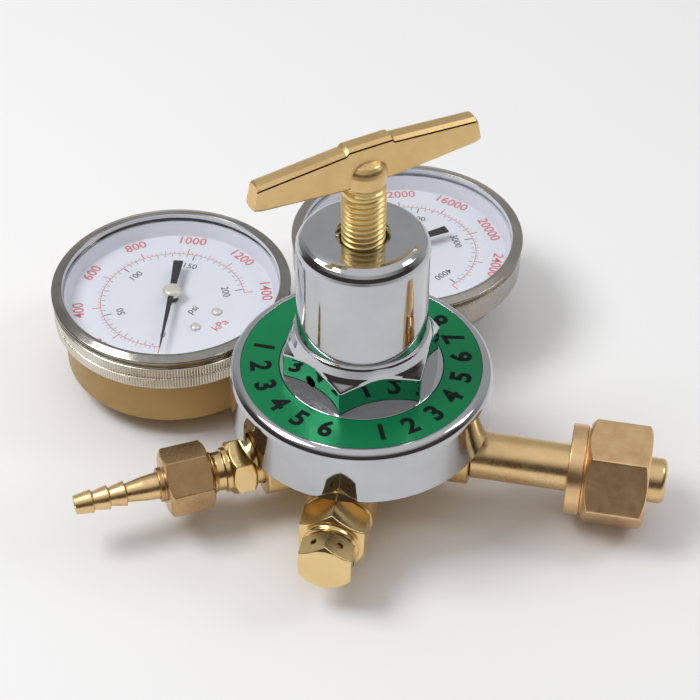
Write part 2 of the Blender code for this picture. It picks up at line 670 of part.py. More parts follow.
def bourdon_tube(prefix, at):
    """A flattened tube bent round most of a circle, from the socket block to its free tip."""
    curve = bpy.data.curves.new(prefix + "bourdon_tube", "CURVE")
    curve.dimensions = "3D"
    curve.twist_mode = "Z_UP"
    curve.extrude = 0.0028
    curve.bevel_depth = 0.0010
    curve.bevel_resolution = 2
    curve.use_fill_caps = True
    points = arc((0, 0), 0.0240, -75, 200, 20)
    spline = curve.splines.new("POLY")
    spline.points.add(len(points) - 1)
    for slot, (x, y) in zip(spline.points, points):
        slot.co = (x, y, 0.0, 1.0)
    raised = at @ Matrix.Translation((0, 0, PORT_HEIGHT))
    return give(curve_mesh(prefix + "bourdon_tube", curve, PARTS, raised), "brass")


def movement(prefix, at):
    """The frame plates and pillars, the toothed sector, the arbor and the link."""
    lower, upper = 0.0112, 0.0216
    thick = 0.0010
    frame = outline(prefix + "movement_frame", plate_outline(), thick / 2, PARTS,
                    at @ Matrix.Translation((0, 0, upper)))
    bottom = outline(prefix + "movement_bottom", plate_outline(), thick / 2, CUTTERS,
                     at @ Matrix.Translation((0, 0, lower)))
    join(frame, bottom)
    for index, (x, y) in enumerate(((0.0075, -0.0165), (0.0075, 0.0050), (-0.0075, 0.0050))):
        pillar = disc(prefix + "pillar_%d" % index, 0.0012, lower, upper, CUTTERS, steps=TINY)
        join(frame, stand(at @ Matrix.Translation((x, y, 0)), pillar))
    arbor_hole = disc(prefix + "arbor_hole", 0.0011, 0.0130, 0.0240, CUTTERS, steps=TINY)
    cut(frame, stand(at, arbor_hole))
    for side in (-1, 1):
        hole = disc(prefix + "screw_hole_%d" % side, 0.0012, 0.0130, 0.0240, CUTTERS, steps=TINY)
        cut(frame, stand(at @ Matrix.Translation((side * DIAL_SCREW_X, DIAL_SCREW_Y, 0)), hole))
    give(frame, "brass")
    sector_gear(prefix, at)
    arbor = [(0, 0.0308), (0.0007, 0.0308), (0.0007, 0.0182), (0.0011, 0.0182), (0.0011, 0.0148),
             (0.0007, 0.0148), (0.0007, lower + thick / 2 + GAP), (0, lower + thick / 2 + GAP)]
    give(stand(at, turned(prefix + "pointer_arbor", arbor, PARTS, steps=TINY)), "brass")


def plate_outline():
    return [(-0.0090, -0.0192), (0.0090, -0.0192), (0.0090, 0.0070), (-0.0090, 0.0070)]


def sector_gear(prefix, at):
    """Pivots at SECTOR_PIVOT. Its toothed edge runs just clear of the arbor's pinion, and its
    tail is moved by the link."""
    pivot = Matrix.Translation((0, -0.0120, 0))
    edge = arc((0, 0), 0.0106, 58, 97, 10)
    tail = arc((-0.0078, -0.0014), 0.0012, 120, 300, 5)
    shape = edge + [(-0.0018, 0.0010)] + tail + [(0.0018, -0.0016)]
    sector = outline(prefix + "sector_gear", shape, 0.0006, PARTS,
                     at @ pivot @ Matrix.Translation((0, 0, 0.0165)))
    shaft = disc(prefix + "sector_shaft", 0.0010, 0.0121, 0.0207, CUTTERS, steps=TINY)
    join(sector, stand(at @ pivot, shaft))
    give(sector, "brass")
    start, end = Vector((-0.0206, -0.0064)), Vector((-0.0078, -0.0134))
    along = (end - start).normalized()
    heading = math.degrees(math.atan2(along.y, along.x))
    bar = arc(end, 0.0009, heading - 90, heading + 90, 5) + \
        arc(start, 0.0009, heading + 90, heading + 270, 5)
    link = outline(prefix + "link", bar, 0.0003, PARTS,
                   at @ Matrix.Translation((0, 0, 0.0222 - 0.0046)))
    give(link, "steel")


def dial_and_pointer(prefix, at):
    face = [(0.0017, DIAL_PLANE), (0.0314, DIAL_PLANE), (0.0325, DIAL_RIM),
            (0.0329, DIAL_RIM), (0.0319, DIAL_PLANE - 0.0006), (0.0017, DIAL_PLANE - 0.0006)]
    dial = turned(prefix + "dial", face, PARTS, steps=LARGE, closed=True)
    stand(at, dial)
    for name, side in (("left", -1), ("right", 1)):
        spot = at @ Matrix.Translation((side * DIAL_SCREW_X, DIAL_SCREW_Y, 0))
        hole = disc(prefix + "dial_hole_" + name, 0.0012, 0.0250, 0.0270, CUTTERS, steps=TINY)
        cut(dial, stand(spot, hole))
        head = [(0, DIAL_PLANE + 0.0010), (0.0010, DIAL_PLANE + 0.0009),
                (0.0017, DIAL_PLANE + GAP), (0.0009, DIAL_PLANE + GAP), (0.0009, 0.0200),
                (0, 0.0200)]
        screw = turned(prefix + "dial_screw_" + name, head, PARTS, steps=TINY)
        give(stand(spot, screw), "nickel")
    give(dial, "white")
    heading = at @ Matrix.Rotation(math.radians(POINTER_ANGLE), 4, "Z")
    needle = [(0.0262, 0.0), (0.0030, 0.0009), (-0.0030, 0.0008), (-0.0145, 0.0015),
              (-0.0145, -0.0015), (-0.0030, -0.0008), (0.0030, -0.0009)]
    pointer = outline(prefix + "pointer", needle, 0.00025, PARTS,
                      heading @ Matrix.Translation((0, 0, POINTER_PLANE)))
    hub = disc(prefix + "pointer_hub", 0.0029, 0.0288, 0.0304, CUTTERS, steps=SMALL)
    bore = disc(prefix + "pointer_bore", 0.0010, 0.0280, 0.0312, CUTTERS, steps=TINY)
    stand(heading, hub, bore)
    give(cut(join(pointer, hub), bore), "black")


def gauge_front(prefix, at, knurled):
    edge = CASE_RADIUS - 0.0002
    give(stand(at, ring(prefix + "gasket", 0.0332, CASE_RADIUS, CASE_TOP + GAP, LENS_SEAT - GAP,
                        PARTS, steps=LARGE)), "rubber")
    lens = [(0, LENS_SEAT + 0.0024), (0.0180, LENS_SEAT + 0.0019), (0.0310, LENS_SEAT + 0.0010),
            (edge, LENS_SEAT + 0.0010), (edge, LENS_SEAT), (0.0310, LENS_SEAT),
            (0.0180, LENS_SEAT + 0.0009), (0, LENS_SEAT + 0.0014)]
    give(stand(at, turned(prefix + "lens", lens, PARTS, steps=LARGE)), "glass")
    lip_under = LENS_SEAT + 0.0010 + GAP
    low = BEZEL_BOTTOM
    outside = [(WINDOW_RADIUS, lip_under + 0.0011), (0.0338, BEZEL_TOP - 0.0001),
               (0.0344, BEZEL_TOP), (0.0361, 0.0334), (BEZEL_RADIUS, 0.0328),
               (BEZEL_RADIUS, 0.0325), (0.0358, 0.0322), (0.0358, 0.0308)]
    if knurled:
        outside += [(BAND_RADIUS - 0.0003, 0.0306)]
    outside += [(BAND_RADIUS, 0.0302), (BAND_RADIUS, low + 0.0003), (BAND_RADIUS - 0.0003, low),
                (CASE_RADIUS + GAP, low), (CASE_RADIUS + GAP, lip_under),
                (WINDOW_RADIUS, lip_under)]
    bezel = turned(prefix + "bezel", outside, PARTS, steps=LARGE, closed=True)
    give(stand(at, bezel), "chrome" if knurled else "nickel")


def gauge(prefix, angle, knurled):
    at = gauge_matrix(angle)
    gauge_case(prefix, at, knurled)
    gauge_socket(prefix, at)
    bourdon_tube(prefix, at)
    movement(prefix, at)
    dial_and_pointer(prefix, at)
    gauge_front(prefix, at, knurled)


# ---------------------------------------------------------------- the whole regulator
def main():
    regulator_body()
    bonnet()
    label_ring()
    adjusting_screw()
    t_handle()
    spring_button()
    range_spring()
    diaphragm_parts()
    seat_parts()
    inlet_parts()
    outlet_parts()
    relief_parts()
    gauge("low_gauge_", LOW_GAUGE_ANGLE, knurled=True)
    gauge("high_gauge_", HIGH_GAUGE_ANGLE, knurled=False)


main()
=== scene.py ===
"""Looks for the gas regulator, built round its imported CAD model. Metres, +Z up.

The frame's origin is the centre of the body's rear face, +Z runs along the adjusting screw and
+X along the inlet. A turned piece is a grid of rings about its own Z, which may carry flats.
"""
import math

import bmesh
import bpy
import numpy as np
from mathutils import Matrix, Vector

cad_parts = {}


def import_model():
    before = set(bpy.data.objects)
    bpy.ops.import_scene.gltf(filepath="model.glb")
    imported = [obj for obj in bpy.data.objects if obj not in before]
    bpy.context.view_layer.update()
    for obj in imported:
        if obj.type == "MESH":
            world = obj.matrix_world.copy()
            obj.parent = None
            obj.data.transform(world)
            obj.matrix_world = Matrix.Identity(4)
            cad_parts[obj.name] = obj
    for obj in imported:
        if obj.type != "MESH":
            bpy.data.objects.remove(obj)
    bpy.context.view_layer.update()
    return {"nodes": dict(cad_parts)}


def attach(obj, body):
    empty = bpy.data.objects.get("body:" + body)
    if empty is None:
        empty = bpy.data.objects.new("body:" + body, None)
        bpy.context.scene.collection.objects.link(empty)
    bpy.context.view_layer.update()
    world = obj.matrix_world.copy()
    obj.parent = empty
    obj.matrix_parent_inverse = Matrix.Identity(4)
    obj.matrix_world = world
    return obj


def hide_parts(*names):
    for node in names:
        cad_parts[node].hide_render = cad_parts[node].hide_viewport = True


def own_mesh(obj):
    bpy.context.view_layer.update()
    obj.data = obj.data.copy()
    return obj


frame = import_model()
NODES = frame["nodes"]
MM = 0.001
TAU = math.tau

PORT_HEIGHT = 17.0
INLET, HIGH_PORT, LOW_PORT, OUTLET, RELIEF = 0.0, 90.0, 150.0, 210.0, 270.0
PORT_REACH, OUTLET_REACH = 33.0, 31.0
GAUGE_DISTANCE = 77.4
POINTER_ANGLE = 217.3
INLET_NUT_TURN, OUTLET_BUSHING_TURN, OUTLET_NUT_TURN = 33.0, 14.0, -13.0
BONNET_TURN, HANDLE_TURN = 26.0, 39.9
LABEL_LEVEL, DIAL_LEVEL = 47.0, 26.3
PRINT_HEIGHT = 0.022
DIAL_ZERO = 215.3
DIAL_SCREW_X, DIAL_SCREW_Y = 4.7, -14.6


# ------------------------------------------------------------------ short calls
def spin(degrees, axis, size=4):
    return Matrix.Rotation(math.radians(degrees), size, axis)


def show(obj):
    bpy.context.scene.collection.objects.link(obj)
    return obj


# ------------------------------------------------------------------ camera, light and floor
def camera():
    """At the distance, azimuth and elevation below from the label's centre, then turned a little:
    the pan about its own up, the tilt about its right and the roll about its view."""
    target = Vector((0, 0, 0.047))
    distance, azimuth, elevation = 0.508, 10.39, 42.62
    pan, tilt, roll = 0.37, 0.38, -0.82
    a, e = math.radians(azimuth), math.radians(elevation)
    back = Vector((math.sin(a) * math.cos(e), -math.cos(a) * math.cos(e), math.sin(e)))
    forward = -back
    right = Vector((math.cos(a), math.sin(a), 0))
    up = right.cross(forward)
    forward, right = spin(pan, up, 3) @ forward, spin(pan, up, 3) @ right
    forward, up = spin(tilt, right, 3) @ forward, spin(tilt, right, 3) @ up
    right, up = spin(roll, forward, 3) @ right, spin(roll, forward, 3) @ up
    made = bpy.data.objects.new("camera", bpy.data.cameras.new("camera"))
    made.data.sensor_width = 36
    made.data.lens = 92.571
    made.data.clip_start = 0.01
    made.data.clip_end = 50
    rotation = Matrix((right, up, -forward)).transposed()
    made.matrix_world = Matrix.Translation(target + distance * back) @ rotation.to_4x4()
    bpy.context.scene.camera = show(made)


def area_light(name, place, aim, size, power):
    light = bpy.data.lights.new(name, "AREA")
    light.shape = "RECTANGLE"
    light.size, light.size_y = size
    light.energy = power
    made = bpy.data.objects.new(name, light)
    made.location = place
    made.rotation_mode = "QUATERNION"
    made.rotation_quaternion = (Vector(aim) - Vector(place)).to_track_quat("-Z", "Y")
    show(made)


def world():
    """A pale studio overhead and a dark room round the horizon, darkest at the camera's side."""
    made = bpy.data.worlds.new("studio")
    made.use_nodes = True
    bpy.context.scene.world = made
    g = Graph(made.node_tree)
    direction = g.node("ShaderNodeTexCoord").outputs["Generated"]
    split = g.node("ShaderNodeSeparateXYZ", {0: direction})
    height = split.outputs["Z"]
    room = g.ramp(height, [(-0.1, (0.35, 0.35, 0.35)), (0.02, (0.05, 0.040, 0.036)),
                           (0.54, (0.06, 0.050, 0.046)), (0.70, (0.36, 0.35, 0.34)),
                           (0.85, (0.66, 0.66, 0.67)), (1.0, (0.70, 0.70, 0.71))],
                  low=-0.1, high=1.0)
    behind = g.ramp(height, [(0.0, (0.36, 0.36, 0.36)), (0.15, (0.42, 0.42, 0.42)),
                             (0.70, (0.42, 0.42, 0.42)), (0.9, (0.66, 0.66, 0.67)),
                             (1.0, (0.70, 0.70, 0.71))])
    side = g.ramp(split.outputs["Y"], [(0.05, (0, 0, 0)), (0.60, (1, 1, 1))])
    shade = g.mix(side, room, behind)
    background = g.node("ShaderNodeBackground", {"Color": shade, "Strength": 1.15})
    g.link(background.outputs[0], g.output("ShaderNodeOutputWorld").inputs["Surface"])


def studio():
    area_light("key", (-0.55, -0.12, 0.90), (0, 0, 0.05), (0.50, 0.40), 5.4)
    area_light("fill", (0.75, 0.30, 0.80), (0, 0, 0.05), (0.25, 0.40), 1.5)
    bm = bmesh.new()
    bmesh.ops.create_grid(bm, x_segments=8, y_segments=8, size=3.0)
    mesh = bpy.data.meshes.new("floor")
    bm.to_mesh(mesh)
    bm.free()
    floor = show(bpy.data.objects.new("floor", mesh))
    floor.location.z = -0.0005
    keep_own(floor)
    g, shader = new_material("floor_white")
    shader.inputs["Roughness"].default_value = 0.9
    shader.inputs["Specular IOR Level"].default_value = 0.1
    g.link(g.ramp(g.noise(3.0), [(0.3, (0.93, 0.93, 0.93)), (0.7, (0.95, 0.95, 0.95))]),
           shader.inputs["Base Color"])
    floor.data.materials.append(g.material)
    bpy.context.scene.view_settings.view_transform = "Standard"


# ------------------------------------------------------------------ materials
class Graph:
    """Short calls for building a node tree."""

    def __init__(self, tree, frame_coordinates=False):
        self.tree = tree
        self.frame_coordinates = frame_coordinates

    def output(self, kind):
        found = [n for n in self.tree.nodes if n.bl_idname == kind]
        return found[0] if found else self.tree.nodes.new(kind)

    def node(self, kind, inputs=None, **settings):
        made = self.tree.nodes.new(kind)
        for key, value in settings.items():
            setattr(made, key, value)
        for key, value in (inputs or {}).items():
            if isinstance(value, bpy.types.NodeSocket):
                self.link(value, made.inputs[key])
            else:
                made.inputs[key].default_value = value
        return made

    def link(self, output, socket):
        self.tree.links.new(output, socket)

    def place(self, stretch=(1, 1, 1)):
        """The piece's own coordinates, in metres, stretched along its axes. Pieces built here
        keep them in an attribute, and the CAD nodes that are shown use the frame's."""
        if self.frame_coordinates:
            where = self.node("ShaderNodeTexCoord").outputs["Object"]
        else:
            where = self.node("ShaderNodeAttribute", attribute_name="own").outputs["Vector"]
        return self.node("ShaderNodeMapping", {"Vector": where, "Scale": stretch}).outputs[0]

    def noise(self, scale, detail=3.0, stretch=(1, 1, 1), rough=0.5):
        return self.node("ShaderNodeTexNoise", {"Vector": self.place(stretch), "Scale": scale,
                                                "Detail": detail, "Roughness": rough}
                         ).outputs["Fac"]

    def ramp(self, value, stops, low=0.0, high=1.0):
        """A colour ramp. Its stops may be numbers or colours, from low to high."""
        if (low, high) != (0.0, 1.0):
            value = self.node("ShaderNodeMapRange", {"Value": value, "From Min": low,
                                                     "From Max": high}).outputs[0]
        made = self.node("ShaderNodeValToRGB", {"Fac": value})
        line = made.color_ramp.elements
        line.remove(line[1])
        for index, (place, colour) in enumerate(stops):
            share = (place - low) / (high - low)
            slot = line.new(share) if index else line[0]
            slot.position = share
            colour = (colour,) * 3 if isinstance(colour, (int, float)) else colour
            slot.color = (*colour, 1.0)
        return made.outputs["Color"]

    def mix(self, share, first, second):
        made = self.node("ShaderNodeMix", data_type="RGBA")
        for key, value in (("Factor_Float", share), ("A_Color", first), ("B_Color", second)):
            self.link(value, next(s for s in made.inputs if s.identifier == key))
        return next(s for s in made.outputs if s.identifier == "Result_Color")

    def bump(self, height, distance, normal=None):
        made = self.node("ShaderNodeBump", {"Height": height, "Distance": distance})
        if normal is not None:
            self.link(normal, made.inputs["Normal"])
        return made.outputs["Normal"]


def new_material(name):
    """A material's graph and its shader. The graph keeps the material, because another one may
    already have its name."""
    made = bpy.data.materials.new("look_" + name)
    made.use_nodes = True
    graph = Graph(made.node_tree, name.startswith("inner"))
    graph.material = made
    return graph, made.node_tree.nodes["Principled BSDF"]


def metal(name, colours, roughness, bump=0.0, bump_scale=900, turned=0.0, blotch=90,
          metallic=1.0):
    """A metal whose colour runs between two shades in soft blotches, with worn patches of higher
    roughness, a fine grain, and optional fine rings left by turning."""
    g, shader = new_material(name)
    spots = g.noise(blotch, detail=5.0, rough=0.6)
    g.link(g.ramp(spots, [(0.32, colours[0]), (0.68, colours[1])]), shader.inputs["Base Color"])
    haze = g.noise(blotch * 3.1, detail=6.0, rough=0.7)
    g.link(g.ramp(haze, [(0.30, roughness[0]), (0.75, roughness[1])]), shader.inputs["Roughness"])
    shader.inputs["Metallic"].default_value = metallic
    normal = None
    if turned:
        rings = g.noise(1.0, detail=2.0, stretch=(60, 60, 5200))
        normal = g.bump(rings, turned)
    if bump:
        normal = g.bump(g.noise(bump_scale, detail=4.0), bump, normal=normal)
    if normal is not None:
        g.link(normal, shader.inputs["Normal"])
    return g.material


def coated(name, colours, roughness, scale=120, bump=0.0, specular=0.5, metallic=0.0, coat=0.0):
    """Paint, print, rubber or plastic: two close shades in soft patches and a fine grain."""
    g, shader = new_material(name)
    g.link(g.ramp(g.noise(scale, detail=4.0), [(0.3, colours[0]), (0.7, colours[1])]),
           shader.inputs["Base Color"])
    g.link(g.ramp(g.noise(scale * 4.3, detail=4.0),
                  [(0.3, roughness[0]), (0.7, roughness[1])]), shader.inputs["Roughness"])
    shader.inputs["Specular IOR Level"].default_value = specular
    shader.inputs["Metallic"].default_value = metallic
    shader.inputs["Coat Weight"].default_value = coat
    if bump:
        g.link(g.bump(g.noise(scale * 9.0, detail=3.0), bump), shader.inputs["Normal"])
    return g.material


def clear_glass(name):
    """Clear where it is seen straight on, and a mirror where it is seen edge on."""
    g, shader = new_material(name)
    g.link(g.ramp(g.noise(60.0), [(0.3, 0.012), (0.7, 0.03)]), shader.inputs["Roughness"])
    shader.inputs["Base Color"].default_value = (1, 1, 1, 1)
    shader.inputs["Metallic"].default_value = 1.0
    facing = g.node("ShaderNodeLayerWeight", {"Blend": 0.5}).outputs["Facing"]
    g.link(g.ramp(facing, [(0.0, 0.030), (0.40, 0.045), (0.60, 0.11), (0.80, 0.34), (1.0, 1.0)]),
           shader.inputs["Alpha"])
    return g.material


def make_materials():
    """The looks. A row is a name, two close shades, the roughness from low to high and the rest."""
    metals = (
        ("chrome", [(0.50, 0.51, 0.53), (0.56, 0.57, 0.59)], (0.03, 0.09),
         dict(bump=0.000004, bump_scale=160, blotch=70)),
        ("brass", [(0.74, 0.50, 0.23), (0.83, 0.60, 0.31)], (0.22, 0.34),
         dict(bump=0.000004, bump_scale=500, turned=0.000003)),
        ("brass_hex", [(0.78, 0.57, 0.26), (0.84, 0.63, 0.31)], (0.16, 0.26),
         dict(bump=0.000004, bump_scale=420, blotch=110)),
        ("brass_worn", [(0.72, 0.46, 0.22), (0.88, 0.62, 0.33)], (0.27, 0.38),
         dict(bump=0.000005, bump_scale=520, blotch=170)),
        ("brass_dull", [(0.50, 0.31, 0.14), (0.62, 0.42, 0.21)], (0.24, 0.34),
         dict(bump=0.000005, bump_scale=520, blotch=170)),
        ("brass_cast", [(0.70, 0.48, 0.21), (0.80, 0.57, 0.27)], (0.30, 0.42),
         dict(bump=0.000016, bump_scale=900)),
        ("brass_screw", [(0.80, 0.60, 0.25), (0.88, 0.68, 0.32)], (0.30, 0.42),
         dict(bump=0.000003, bump_scale=700)),
        ("nickel", [(0.34, 0.315, 0.275), (0.42, 0.39, 0.345)], (0.22, 0.32),
         dict(bump=0.000008, bump_scale=500, turned=0.000003)),
        ("warm_chrome", [(0.25, 0.235, 0.205), (0.38, 0.365, 0.335)], (0.10, 0.20),
         dict(bump=0.000004, bump_scale=300)),
        ("knurl", [(0.62, 0.57, 0.48), (0.76, 0.72, 0.64)], (0.16, 0.26), {}),
        ("hub", [(0.74, 0.70, 0.62), (0.82, 0.79, 0.72)], (0.36, 0.46), dict(metallic=0.7)),
        # A near-black brown for the handle's groove faces: painted shade in the groove.
        ("tarnish", [(0.09, 0.045, 0.018), (0.16, 0.085, 0.035)], (0.4, 0.55), dict(metallic=0.6)),
        ("gold_line", [(0.42, 0.30, 0.14), (0.55, 0.42, 0.22)], (0.20, 0.32), {}),
        ("inner_brass", [(0.70, 0.47, 0.20), (0.82, 0.59, 0.28)], (0.25, 0.40),
         dict(bump=0.000006)),
        ("inner_steel", [(0.42, 0.43, 0.44), (0.56, 0.57, 0.58)], (0.24, 0.40),
         dict(bump=0.000006)),
    )
    paints = (
        ("ochre", [(0.42, 0.265, 0.085), (0.455, 0.29, 0.098)], (0.34, 0.44),
         dict(bump=0.000006, metallic=0.45)),
        ("green", [(0.002, 0.235, 0.080), (0.003, 0.255, 0.090)], (0.26, 0.36),
         dict(scale=40, bump=0.000002, metallic=0.45, specular=0.35, coat=0.1)),
        ("white", [(0.73, 0.77, 0.84), (0.75, 0.79, 0.86)], (0.40, 0.52), dict(bump=0.000003)),
        ("black", [(0.006, 0.006, 0.007), (0.010, 0.010, 0.011)], (0.55, 0.70),
         dict(specular=0.15)),
        ("ink_black", [(0.004, 0.009, 0.007), (0.007, 0.013, 0.010)], (0.6, 0.7),
         dict(specular=0.15)),
        ("ink_grey", [(0.085, 0.09, 0.10), (0.12, 0.125, 0.135)], (0.6, 0.7), dict(specular=0.2)),
        ("ink_red", [(0.66, 0.12, 0.15), (0.72, 0.17, 0.20)], (0.6, 0.7), dict(specular=0.2)),
        ("inner_white", [(0.72, 0.75, 0.80), (0.76, 0.79, 0.84)], (0.5, 0.6), dict(bump=0.000006)),
        ("inner_rubber", [(0.02, 0.02, 0.02), (0.035, 0.035, 0.035)], (0.7, 0.85),
         dict(bump=0.00002)),
    )
    made = {}
    for make, rows in ((metal, metals), (coated, paints)):
        for name, shades, roughness, more in rows:
            made[name] = make(name, shades, roughness, **more)
    made["glass"] = clear_glass("glass")
    return made


# ------------------------------------------------------------------ geometry
def corner_arc(before, corner, after, radius):
    """The rounded corner's points, or the corner itself if it is nearly straight."""
    b, c, a = (np.array(p, float) for p in (before, corner, after))
    u, v = b - c, a - c
    lu, lv = np.linalg.norm(u), np.linalg.norm(v)
    if radius <= 0 or lu < 1e-9 or lv < 1e-9:
        return [tuple(c)]
    u, v = u / lu, v / lv
    half = math.acos(max(-1.0, min(1.0, float(u @ v)))) / 2
    if half > math.radians(87):
        return [tuple(c)]
    reach = min(radius / math.tan(half), 0.48 * lu, 0.48 * lv)
    radius = reach * math.tan(half)
    middle = c + (u + v) / np.linalg.norm(u + v) * (radius / math.sin(half))
    start, end = c + u * reach - middle, c + v * reach - middle
    sweep = math.pi - 2 * half
    count = max(2, math.ceil(sweep / math.radians(13)))
    made = []
    for k in range(count + 1):
        t = k / count
        s = (math.sin((1 - t) * sweep) * start + math.sin(t * sweep) * end) / math.sin(sweep)
        made.append(tuple(middle + s))
    return made


def rounded(points, radius=0.25, closed=False, support=0.12):
    """A profile with rounded corners. A point may carry its own radius as a third number, in mm.
    Extra points near the ends of long runs keep their shading flat."""
    size = len(points)
    made = []
    for index, point in enumerate(points):
        own = point[2] if len(point) > 2 else radius
        if not closed and index in (0, size - 1):
            made.append(tuple(point[:2]))
            continue
        made += corner_arc(points[index - 1][:2], point[:2], points[(index + 1) % size][:2], own)
    if closed:
        made.append(made[0])
    filled = [made[0]]
    for first, second in zip(made, made[1:]):
        f, s = np.array(first), np.array(second)
        length = np.linalg.norm(s - f)
        if length < 1e-6:
            continue
        if length > 5 * support:
            filled += [tuple(f + (s - f) * support / length), tuple(s - (s - f) * support / length)]
        filled.append(tuple(s))
    if closed:
        filled.pop()
    return filled


def dense(points, low, high, step):
    """The same profile with points every step where its heights lie between low and high."""
    made = [points[0]]
    for first, second in zip(points, points[1:]):
        span = max(abs(second[0] - first[0]), abs(second[1] - first[1]))
        inside = min(first[1], second[1]) < high and max(first[1], second[1]) > low
        count = max(1, math.ceil(span / step)) if inside else 1
        for k in range(1, count + 1):
            t = k / count
            made.append((first[0] + (second[0] - first[0]) * t,
                         first[1] + (second[1] - first[1]) * t))
    return made


def hex_angles(turn, per_half):
    """Angles round a hexagon, in degrees, crowded towards its corners."""
    share = [(k / per_half) ** 1.8 * 30 for k in range(per_half)]
    made = []
    for side in range(6):
        corner = turn + 60 * side
        made += [corner + s for s in share]
        made += [corner + 60 - s for s in [30.0] + share[:0:-1]]
    return np.radians(made)


def flats_radius(angles, turn, half_flats, sharp=140.0):
    """The radius of a hexagon with slightly rounded corners at each angle."""
    total = np.zeros_like(angles)
    for side in range(6):
        facing = np.cos(angles - math.radians(turn + 30 + 60 * side))
        total += np.where(facing > 0.1, np.abs(facing), 0.0) ** sharp
    return half_flats * total ** (-1.0 / sharp)


def lathe(name, profile, steps=160, closed=False, hexes=(), turn=0.0, ripple=None, sharp=140.0):
    """A mesh turned about Z from a profile of (radius, height) in mm that runs down its outer
    side. hexes holds (low, high, half flats): between those heights the parts that lie within a
    fifth of the half flats are cut to a hexagon."""
    angles = hex_angles(turn, 24) if hexes else np.linspace(0, TAU, steps, endpoint=False)
    count = len(angles)
    verts, rings = [], []
    for radius, height in profile:
        if radius < 1e-6:
            rings.append([len(verts)])
            verts.append((0, 0, height * MM))
            continue
        reach = np.full(count, float(radius))
        for low, high, half in hexes:
            if low <= height <= high and 0.8 < radius / half < 1.2:
                limit = flats_radius(angles, turn, half, sharp)
                reach = (reach / half) ** -sharp + (limit / half) ** -sharp
                reach = half * reach ** (-1.0 / sharp)
        if ripple:
            reach = reach + ripple(angles, radius, height)
        start = len(verts)
        x, y = reach * np.cos(angles) * MM, reach * np.sin(angles) * MM
        verts += [(float(a), float(b), height * MM) for a, b in zip(x, y)]
        rings.append(list(range(start, start + count)))
    faces = []
    pairs = list(zip(rings, rings[1:])) + ([(rings[-1], rings[0])] if closed else [])
    for upper, lower in pairs:
        for i in range(count):
            j = (i + 1) % count
            if len(upper) == 1 and len(lower) == 1:
                continue
            if len(upper) == 1:
                faces.append((upper[0], lower[i], lower[j]))
            elif len(lower) == 1:
                faces.append((upper[i], lower[0], upper[j]))
            else:
                faces.append((upper[i], lower[i], lower[j], upper[j]))
    return mesh_object(name, verts, faces)


def hex_lathe(name, profile, low, high, step, flats, closed=True):
    """A turned piece with a hexagon, whose rings are a step apart between low and high."""
    shape = dense(rounded(profile, 0.2, closed=closed), low, high, step)
    return lathe(name, shape, closed=closed, hexes=[flats])


def mesh_object(name, verts, faces):
    mesh = bpy.data.meshes.new(name)
    mesh.from_pydata([tuple(v) for v in verts], [], faces)
    mesh.validate()
    mesh.shade_smooth()
    return show(bpy.data.objects.new(name, mesh))


def sharpen(obj, degrees=35.0):
    obj.data.set_sharp_from_angle(angle=math.radians(degrees))
    return obj


def merge(name, *objects):
    """One object from several, which keep their materials."""
    bm = bmesh.new()
    materials = []
    for obj in objects:
        copy = obj.data.copy()
        copy.transform(obj.matrix_world)
        slots = []
        for item in obj.data.materials:
            if item not in materials:
                materials.append(item)
            slots.append(materials.index(item))
        before = len(bm.faces)
        bm.from_mesh(copy)
        bm.faces.ensure_lookup_table()
        for face in bm.faces[before:]:
            face.material_index = slots[face.material_index] if slots else 0
        bpy.data.objects.remove(obj, do_unlink=True)
    mesh = bpy.data.meshes.new(name)
    bm.to_mesh(mesh)
    bm.free()
    for item in materials:
        mesh.materials.append(item)
    return show(bpy.data.objects.new(name, mesh))


def boolean(obj, other, operation="DIFFERENCE"):
    """Applies a Boolean and removes the cutter."""
    step = obj.modifiers.new("cut", "BOOLEAN")
    step.operation = operation
    step.object = other
    step.solver = "EXACT"
    bake(obj)
    bpy.data.objects.remove(other, do_unlink=True)
    return obj


def bake(obj):
    """Turns an object's modifiers into its mesh."""
    bpy.context.view_layer.update()
    graph = bpy.context.evaluated_depsgraph_get()
    mesh = bpy.data.meshes.new_from_object(obj.evaluated_get(graph))
    obj.modifiers.clear()
    obj.data = mesh
    return obj


def bevelled(obj, width, degrees, harden=False):
    """Rounds the edges that are sharper than so many degrees."""
    step = obj.modifiers.new("edge", "BEVEL")
    step.width = width
    step.segments = 3
    step.limit_method = "ANGLE"
    step.angle_limit = math.radians(degrees)
    step.harden_normals = harden
    return bake(obj)


def port(angle, roll=0.0):
    """A piece modelled up its own Z lies on the port axis at the angle, pointing outwards."""
    return (Matrix.Translation((0, 0, PORT_HEIGHT * MM))
            @ spin(angle, "Z") @ spin(90, "Y") @ spin(roll, "Z"))


def gauge_frame(angle):
    """The gauge's own frame: its centre on Z, and its stem along -Y, towards the body."""
    t = math.radians(angle)
    centre = (GAUGE_DISTANCE * MM * math.cos(t), GAUGE_DISTANCE * MM * math.sin(t), 0)
    return Matrix.Translation(centre) @ Matrix.Rotation(t - math.pi / 2, 4, "Z")


def keep_own(obj):
    """Keeps a piece's coordinates before it is put in place, for its material."""
    if "own" not in obj.data.attributes:
        count = len(obj.data.vertices)
        places = np.empty(count * 3, np.float32)
        obj.data.vertices.foreach_get("co", places)
        obj.data.attributes.new("own", "FLOAT_VECTOR", "POINT").data.foreach_set("vector", places)


def settle(obj, at=None):
    """Moves the mesh itself into the frame, so that the object sits at the origin."""
    keep_own(obj)
    world = obj.matrix_world.copy() if at is None else at @ obj.matrix_world
    obj.data.transform(world)
    obj.matrix_world = Matrix.Identity(4)


def finish_piece(obj, look, body, nodes=(), at=None):
    """Places a piece, gives it its look and ties it to its body and the nodes it stands for."""
    settle(obj, at)
    if look is not None:
        obj.data.materials.clear()
        obj.data.materials.append(LOOKS[look])
    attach(obj, body)
    if nodes:
        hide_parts(*nodes)
    return obj


